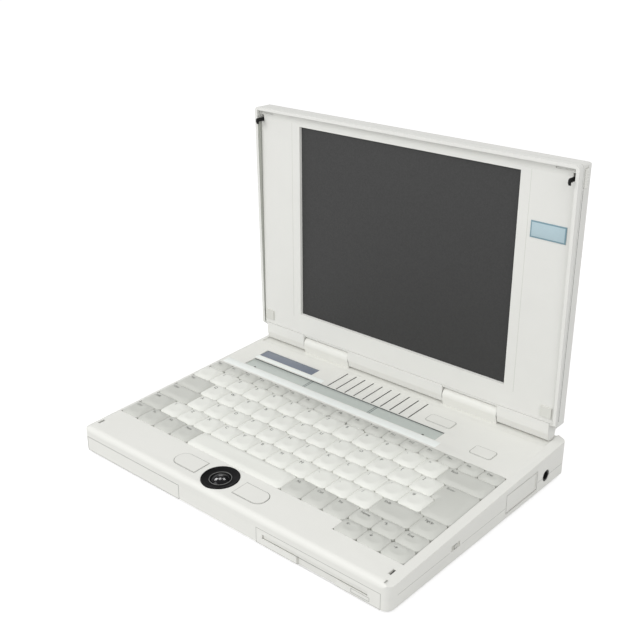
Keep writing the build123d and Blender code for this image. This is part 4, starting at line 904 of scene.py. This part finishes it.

# %% Trims, mark and painted shade in the speaker slots
FRONT_TRIM = ((-30.0, 145.6), (222.0, 7.6))
REAR_TRIM = ((-86.0, 166.3), (76.0, 4.6))
TRIM_LEVELS = (0.05, -0.3)
EDGE_MARK = ((143.6, 3.2), (0.7, 3.0))
MARK_LEVELS = (0.04, -0.3)
SLOT_SHADE_LEVELS = (-0.1, -0.6)
SLOTS = 10
SLOT_STEP = 9.05
SLOT_S = 176.8
SLOT_SIZE = (1.1, 26.0)
# Pale bands beside the strip: a pale border, painted paler still as a highlight.
deck_slab("strip_front_trim", *FRONT_TRIM, TRIM_LEVELS, pale_border_highlight, 0.1, **on_base)
deck_slab("strip_rear_trim", *REAR_TRIM, TRIM_LEVELS, pale_border_highlight, 0.1, **on_base)
deck_slab("edge_mark", *EDGE_MARK, MARK_LEVELS, faint_seam_shade, 0.02, **on_base)
# Each slot gets a dark sheet of painted shade.
for k in range(SLOTS):
    place = ((k - (SLOTS - 1) / 2) * SLOT_STEP, SLOT_S)
    deck_slab(f"slot_shade_{k}", place, SLOT_SIZE, SLOT_SHADE_LEVELS, slot_shade, 0.02, **dark_on_base)
print("speaker slots lined", SLOTS)

# %% [markdown]
# Dark lines where parts meet
#
# Between two mouldings there is a gap of a few tenths of a millimetre, and hardly any light
# gets into it, so it reads as a thin grey line. The gap alone is too fine for a picture of
# this size. A narrow ribbon of painted shade is therefore laid over it. The ribbon's path is
# the outline of the imported part: its points are flattened into the face's own plane, and
# the convex hull of those points is moved outwards, or inwards for a line on the part's own
# edge.

# %% Outlines of imported parts
NEAR_POINTS = 0.05 * MM
STRAIGHT = 1e-12


def hull(points):
    """Convex outline of flat points, anticlockwise, without points that all but coincide."""
    ordered = sorted({(round(x, 6), round(y, 6)) for x, y in points})
    chains = []
    for run in (ordered, ordered[::-1]):
        chain = []
        for p in run:
            while len(chain) > 1:
                (ax, ay), (bx, by) = chain[-2], chain[-1]
                if (bx - ax) * (p[1] - ay) - (by - ay) * (p[0] - ax) > STRAIGHT:
                    break
                chain.pop()
            chain.append(p)
        chains += chain[:-1]
    corners = [Vector(c) for c in chains]
    return [c for i, c in enumerate(corners) if (c - corners[i - 1]).length > NEAR_POINTS]


def grown(outline, spread):
    """The outline moved outwards by a spread in millimetres."""
    moved = []
    for i, corner in enumerate(outline):
        before = (corner - outline[i - 1]).normalized()
        after = (outline[(i + 1) % len(outline)] - corner).normalized()
        outward = Vector((before.y + after.y, -before.x - after.x)).normalized()
        share = max(0.5, outward.dot(Vector((before.y, -before.x))))
        moved.append(corner + outward * spread * MM / share)
    return moved


print("outline helpers ready")

# %% [markdown]
# Ribbons over gaps and on edges
#
# A gap's ribbon of painted shade lies on the surface round the part and stays with the
# base. A line of painted shade on a part's own edge lies on its face and moves with it, so an
# opening door takes it along.

# %% Gap and edge lines
CASE_SIDE = corners_of("top_case")[1][0]
FACE_DEPTH = 0.5
LINE_LIFT = 0.02
GAP_SPREADS = (0.0, 0.3)
BUTTON_EDGE = (-0.3, -0.05)
DOOR_EDGE = (-0.35, -0.05)
SLIDER_EDGE = (-0.4, -0.05)


def gap_line(node, plane, material, spreads=GAP_SPREADS, raised=False):
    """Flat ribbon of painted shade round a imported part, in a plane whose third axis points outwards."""
    inward = plane.inverted()
    points = [inward @ v.co for v in nodes[node].data.vertices]
    level = max(p.z for p in points)
    outline = hull([(p.x, p.y) for p in points if p.z > level - FACE_DEPTH * MM])
    height = (level if raised else min(level, 0.0)) + LINE_LIFT * MM
    work = bmesh.new()
    near, far = [
        [work.verts.new(plane @ Vector((p.x, p.y, height))) for p in grown(outline, spread)]
        for spread in spreads
    ]
    for i in range(len(outline)):
        j = (i + 1) % len(outline)
        work.faces.new((near[i], near[j], far[j], far[i]))
    name = f"{node}_edge" if raised else f"{node}_gap"
    body = body_of_node(node) if raised else "base"
    return new_piece(name, mesh_of(work, name), [material], body=body)


print("ribbon helper ready")

# %% Ribbons on deck, front and side
upright = Matrix.Rotation(pi / 2, 4, "X")
front_plane = Matrix.Translation((0, DECK_FRONT * MM, 0)) @ upright
side_plane = Matrix.Translation((CASE_SIDE * MM, 0, 0)) @ Matrix.Rotation(pi / 2, 4, "Z") @ upright
# The ribbons below are painted shade round each button and panel, and on their edges.
DECK_BUTTONS = {
    "left_click_button": seam_shade, "right_click_button": seam_shade,
    "standby_button": faint_seam_shade, "power_button": faint_seam_shade,
}
FRONT_PANELS = {
    "battery_front": seam_shade, "floppy_bezel": faint_seam_shade,
    "dust_flap": seam_shade, "eject_button": faint_seam_shade,
}
for plane, panels in ((deck_frame, DECK_BUTTONS), (front_plane, FRONT_PANELS)):
    for part, material in panels.items():
        line = gap_line(part, plane, material)
        print(line.name, len(line.data.polygons), "faces")
for part in DECK_BUTTONS:
    gap_line(part, deck_frame, faint_seam_shade, BUTTON_EDGE, raised=True)
gap_line("port_door", side_plane, faint_seam_shade, DOOR_EDGE, raised=True)
gap_line("contrast_slider", side_plane, seam_shade, SLIDER_EDGE, raised=True)
print("button edges drawn")

# %% [markdown]
# Parting lines on the sides
#
# The case is two shells, and so is the lid. Where two shells meet along a side, a fine
# shadow runs the whole length; it is painted shade. It stops where the door, the slider or
# the power inlet interrupts it. Each stretch is one thin bar that stands two hundredths of a
# millimetre proud of the side.

# %% Parting lines of the case
CASE_SEAM = 12.0
SEAM_HALF = 0.12
SEAM_DEPTH = 0.1
CASE_REAR = 106.0
SEAM_ENDS = (-97.0, 103.0)
SIDE_STRETCHES = ((SEAM_ENDS[0], -42.5), (-28.5, 24.5), (67.5, 75.8), (83.4, SEAM_ENDS[1]))
REAR_STRETCHES = ((-144.0, -8.0), (45.0, 84.0), (118.0, 144.0))
seam_low, seam_high = CASE_SEAM - SEAM_HALF, CASE_SEAM + SEAM_HALF


def skin(surface):
    """Range across an outer surface, from a little inside it to a little proud of it."""
    side = 1 if surface > 0 else -1
    return sorted((surface - side * SEAM_DEPTH, surface + side * LINE_LIFT))


def bar(name, low, high, body="base", material=faint_seam_shade):
    """Straight line of painted shade drawn as a bar with plain edges."""
    slab(name, low, high, material, 0.0, body=body, slot="case_plastic")


inside, outside = skin(CASE_SIDE)
for k, (front, rear) in enumerate(SIDE_STRETCHES):
    bar(f"case_seam_right_{k}", (inside, front, seam_low), (outside, rear, seam_high))
outside, inside = skin(-CASE_SIDE)
bar("case_seam_left", (outside, SEAM_ENDS[0], seam_low), (inside, SEAM_ENDS[1], seam_high))
inside, outside = skin(CASE_REAR)
for k, (left, right) in enumerate(REAR_STRETCHES):
    bar(f"case_seam_rear_{k}", (left, inside, seam_low), (right, outside, seam_high))
print("case seam at", CASE_SEAM, "side at", round(CASE_SIDE, 2))

# %% [markdown]
# Lines and shade in the lid
#
# The lid's own parting line runs up each side to the release slider, as a line of painted
# shade. Inside the raised rim, a line of painted shade marks the corner where the rim meets
# the bezel, and the rim shades its own inner wall there. That shade is painted too: a darker
# skin of one four-sided face that follows the rim, which grows deeper towards the top.

# %% Lid lines and rim shade
LID_SIDE = corners_of("lid_cover")[1][0]
RIM_THICK = 2.6
RIM_INSIDE = LID_SIDE - RIM_THICK
RIM_FOOT = 48.0
RIM_DEPTH_FOOT = 1.1
RIM_DEPTH_TOP = 4.1
LID_SEAM_HALF = 0.25
CORNER_LINE = 0.35
SHADE_OFF = 0.03
END_ROOM = 1.0
lid_body = body_of_node("lid_cover")


def painted_rim_shade(name, x):
    """Four-sided skin of painted shade on the rim's inner wall at x."""
    top = LINE_TOP - END_ROOM
    outline = (
        (FACE_Y, RIM_FOOT), (FACE_Y - RIM_DEPTH_FOOT, RIM_FOOT),
        (FACE_Y - RIM_DEPTH_TOP, top), (FACE_Y, top),
    )
    work = bmesh.new()
    work.faces.new([work.verts.new((x * MM, y * MM, z * MM)) for y, z in outline])
    new_piece(name, mesh_of(work, name), [rim_shade], body=lid_body)


for side, word in ((1, "right"), (-1, "left")):
    _, y, slider_foot = corners_of(f"release_slider_{word}")[0]
    low_x, high_x = skin(side * LID_SIDE)
    seam_foot = (low_x, y - LID_SEAM_HALF, RIM_FOOT + END_ROOM)
    seam_top = (high_x, y + LID_SEAM_HALF, slider_foot - END_ROOM)
    bar(f"lid_seam_{word}", seam_foot, seam_top, lid_body, seam_shade)
    low_x, high_x = sorted((side * (RIM_INSIDE - CORNER_LINE), side * RIM_INSIDE))
    gap_foot, gap_top = (low_x, FACE_PROUD, RIM_FOOT), (high_x, FACE_Y + SEAM_DEPTH, LINE_TOP)
    bar(f"bezel_gap_{word}", gap_foot, gap_top, lid_body, seam_shade)
    painted_rim_shade(f"rim_shade_{word}", side * (RIM_INSIDE - SHADE_OFF))
print("lid lines drawn, lid side at", round(LID_SIDE, 1))

# %% [markdown]
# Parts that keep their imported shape
#
# Shells, brackets, boards, drives and connectors are right as they are. They only need a
# finish, so each one's material slots are filled and its mesh is left alone.

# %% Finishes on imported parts
FINISHES = (
    (case_plastic, ("top_case", "bottom_case", "battery_front", "floppy_bezel", "hinge_covers")),
    (lid_plastic, ("lid_cover", "screen_bezel")),
    (bare_steel, ("keyboard_plate", "floppy_drive", "hard_drive", "parallel_port", "serial_port")),
    (bare_steel, ("monitor_port", "case_screws", "hinge_brackets", "hinge_pins", "roller_x", "roller_y")),
    (board_green, ("main_board", "inverter_board")),
    (dark_plastic, ("speaker", "dc_jack")),
    (screen_film, ("lcd_panel",)),
)
for finish, parts in FINISHES:
    for part in parts:
        mesh = nodes[part].data
        if not mesh.materials:
            mesh.materials.append(finish)
        for i in range(len(mesh.materials)):
            mesh.materials[i] = finish
    print(finish.name, "on", ", ".join(parts))

# %% [markdown]
# Floor and white surroundings
#
# The photograph is a catalogue picture on pure white. A pale floor catches a faint shadow.
# The camera sees the floor and the sky brighter than they light the object, so the
# background is white while the light on the object stays at a plain level. Glass shows
# both the same way. A polished surface mirrors the bright floor but the plain sky, so the
# black ball isn't washed out.

# %% Pale floor
FLOOR_REACH = 12.0
FLOOR_TONE = 0.62
FLOOR_GLOW = 0.62


def either(tree, first, second):
    """One where either of two ray tests is one."""
    node = tree.nodes.new("ShaderNodeMath")
    node.operation = "MAXIMUM"
    tree.links.new(first, node.inputs[0])
    tree.links.new(second, node.inputs[1])
    return node.outputs[0]


floor_corners = [(x * FLOOR_REACH, y * FLOOR_REACH, 0) for x, y in ((-1, -1), (1, -1), (1, 1), (-1, 1))]
floor_mesh = bpy.data.meshes.new("floor")
floor_mesh.from_pydata(floor_corners, [], [(0, 1, 2, 3)])
floor = bpy.data.objects.new("floor", floor_mesh)
bpy.context.collection.objects.link(floor)
floor_finish, tree, shader, _ = new_finish("studio_floor")
shader.inputs["Roughness"].default_value = 0.9
shader.inputs["Specular IOR Level"].default_value = 0.1
shader.inputs["Base Color"].default_value = (FLOOR_TONE, FLOOR_TONE, FLOOR_TONE, 1)
rays = tree.nodes.new("ShaderNodeLightPath").outputs
seen = either(tree, rays["Is Camera Ray"], rays["Is Glossy Ray"])
seen = either(tree, seen, rays["Is Transmission Ray"])
glow = tree.nodes.new("ShaderNodeEmission")
glow.inputs["Color"].default_value = (1, 1, 1, 1)
tree.links.new(ramp(tree, seen, 0.0, 1.0, 0.0, FLOOR_GLOW), glow.inputs["Strength"])
both = tree.nodes.new("ShaderNodeAddShader")
tree.links.new(shader.outputs[0], both.inputs[0])
tree.links.new(glow.outputs[0], both.inputs[1])
tree.links.new(both.outputs[0], tree.nodes["Material Output"].inputs["Surface"])
floor_mesh.materials.append(floor_finish)
print("floor reaches", FLOOR_REACH, "m")

# %% White sky
AMBIENT = 0.66
world = bpy.data.worlds.new("studio")
bpy.context.scene.world = world
world.use_nodes = True
tree = world.node_tree
sky = tree.nodes["Background"]
sky.inputs["Color"].default_value = (1, 1, 1, 1)
rays = tree.nodes.new("ShaderNodeLightPath").outputs
seen = either(tree, rays["Is Camera Ray"], rays["Is Transmission Ray"])
tree.links.new(ramp(tree, seen, 0.0, 1.0, AMBIENT, 1.0), sky.inputs["Strength"])
print("ambient light", AMBIENT)

# %% [markdown]
# Lamps
#
# The light comes softly from the front left and above. One large square lamp gives the
# keys and edges their shading, and a weaker one from the right keeps that side readable.

# %% Studio lamps
def soft_lamp(name, place, target, size, power):
    """Square studio lamp aimed at a point, in metres and watts."""
    data = bpy.data.lights.new(name, "AREA")
    data.size = size
    data.energy = power
    lamp = bpy.data.objects.new(name, data)
    bpy.context.collection.objects.link(lamp)
    lamp.location = place
    lamp.rotation_euler = (Vector(target) - Vector(place)).to_track_quat("-Z", "Y").to_euler()
    return lamp


soft_lamp("key_lamp", place=(-0.62, -1.3, 1.1), target=(0, 0, 0.08), size=0.9, power=12.7)
soft_lamp("fill_lamp", place=(1.0, -0.35, 0.85), target=(0, 0, 0.05), size=0.8, power=3.7)
print("lamps set")

# %% [markdown]
# Camera
#
# The lens and the camera's place were worked out from the edges of the case, so each part
# falls where it does in the photograph. The Standard view leaves colours as written.

# %% Camera
LENS = 56.305
SENSOR = 36.0
NEAREST = 0.05
CAMERA_PLACE = (0.43462, -0.494184, 0.400538)
CAMERA_TILT = 66.796
CAMERA_TURN = 41.239
camera_data = bpy.data.cameras.new("camera")
camera_data.lens = LENS
camera_data.sensor_width = SENSOR
camera_data.clip_start = NEAREST
camera = bpy.data.objects.new("camera", camera_data)
bpy.context.collection.objects.link(camera)
camera.location = CAMERA_PLACE
camera.rotation_euler = (radians(CAMERA_TILT), 0, radians(CAMERA_TURN))
bpy.context.scene.camera = camera
bpy.context.scene.view_settings.view_transform = "Standard"
print("camera set")

# %% [markdown]
# Four points of light in the ball
#
# The polished ball mirrors four small lamps, one above and three in a row. A mirror sends
# the view off at an angle equal on both sides of its surface. So each lamp's place follows
# from where its spark lies on the ball. The lamps are linked to the ball alone, so that
# nothing else on the machine turns brighter or picks up a highlight from them.

# %% Sparks on the ball
SPARK_AWAY = 0.8
SPARK_SIZE = 0.3
SPARKS = ((-0.02, 0.93, 1.0), (-0.4, 0.62, 9.0), (-0.1, 0.7, 8.0), (0.26, 0.7, 7.0))
ball_middle = on_deck(BALL_X, BALL_S, -BALL_DEPTH)
toward = (camera.location - ball_middle).normalized()
view_axes = camera.rotation_euler.to_matrix()
ball_alone = bpy.data.collections.new("ball_alone")
ball_alone.objects.link(bpy.data.objects["polished_ball"])


def spark(name, right, up, power):
    """Small lamp mirrored at a place on the ball, given in shares of its radius."""
    facing = view_axes.col[0] * right + view_axes.col[1] * up + toward * sqrt(1 - right ** 2 - up ** 2)
    away = 2 * facing.dot(toward) * facing - toward
    spot = ball_middle + facing * BALL_RADIUS * MM
    lamp = soft_lamp(name, spot + away * SPARK_AWAY, spot, SPARK_SIZE, power)
    lamp.light_linking.receiver_collection = ball_alone
    return lamp


for k, (right, up, power) in enumerate(SPARKS):
    lamp = spark(f"spark_{k}", right, up, power)
    print(lamp.name, [round(c, 2) for c in lamp.location])
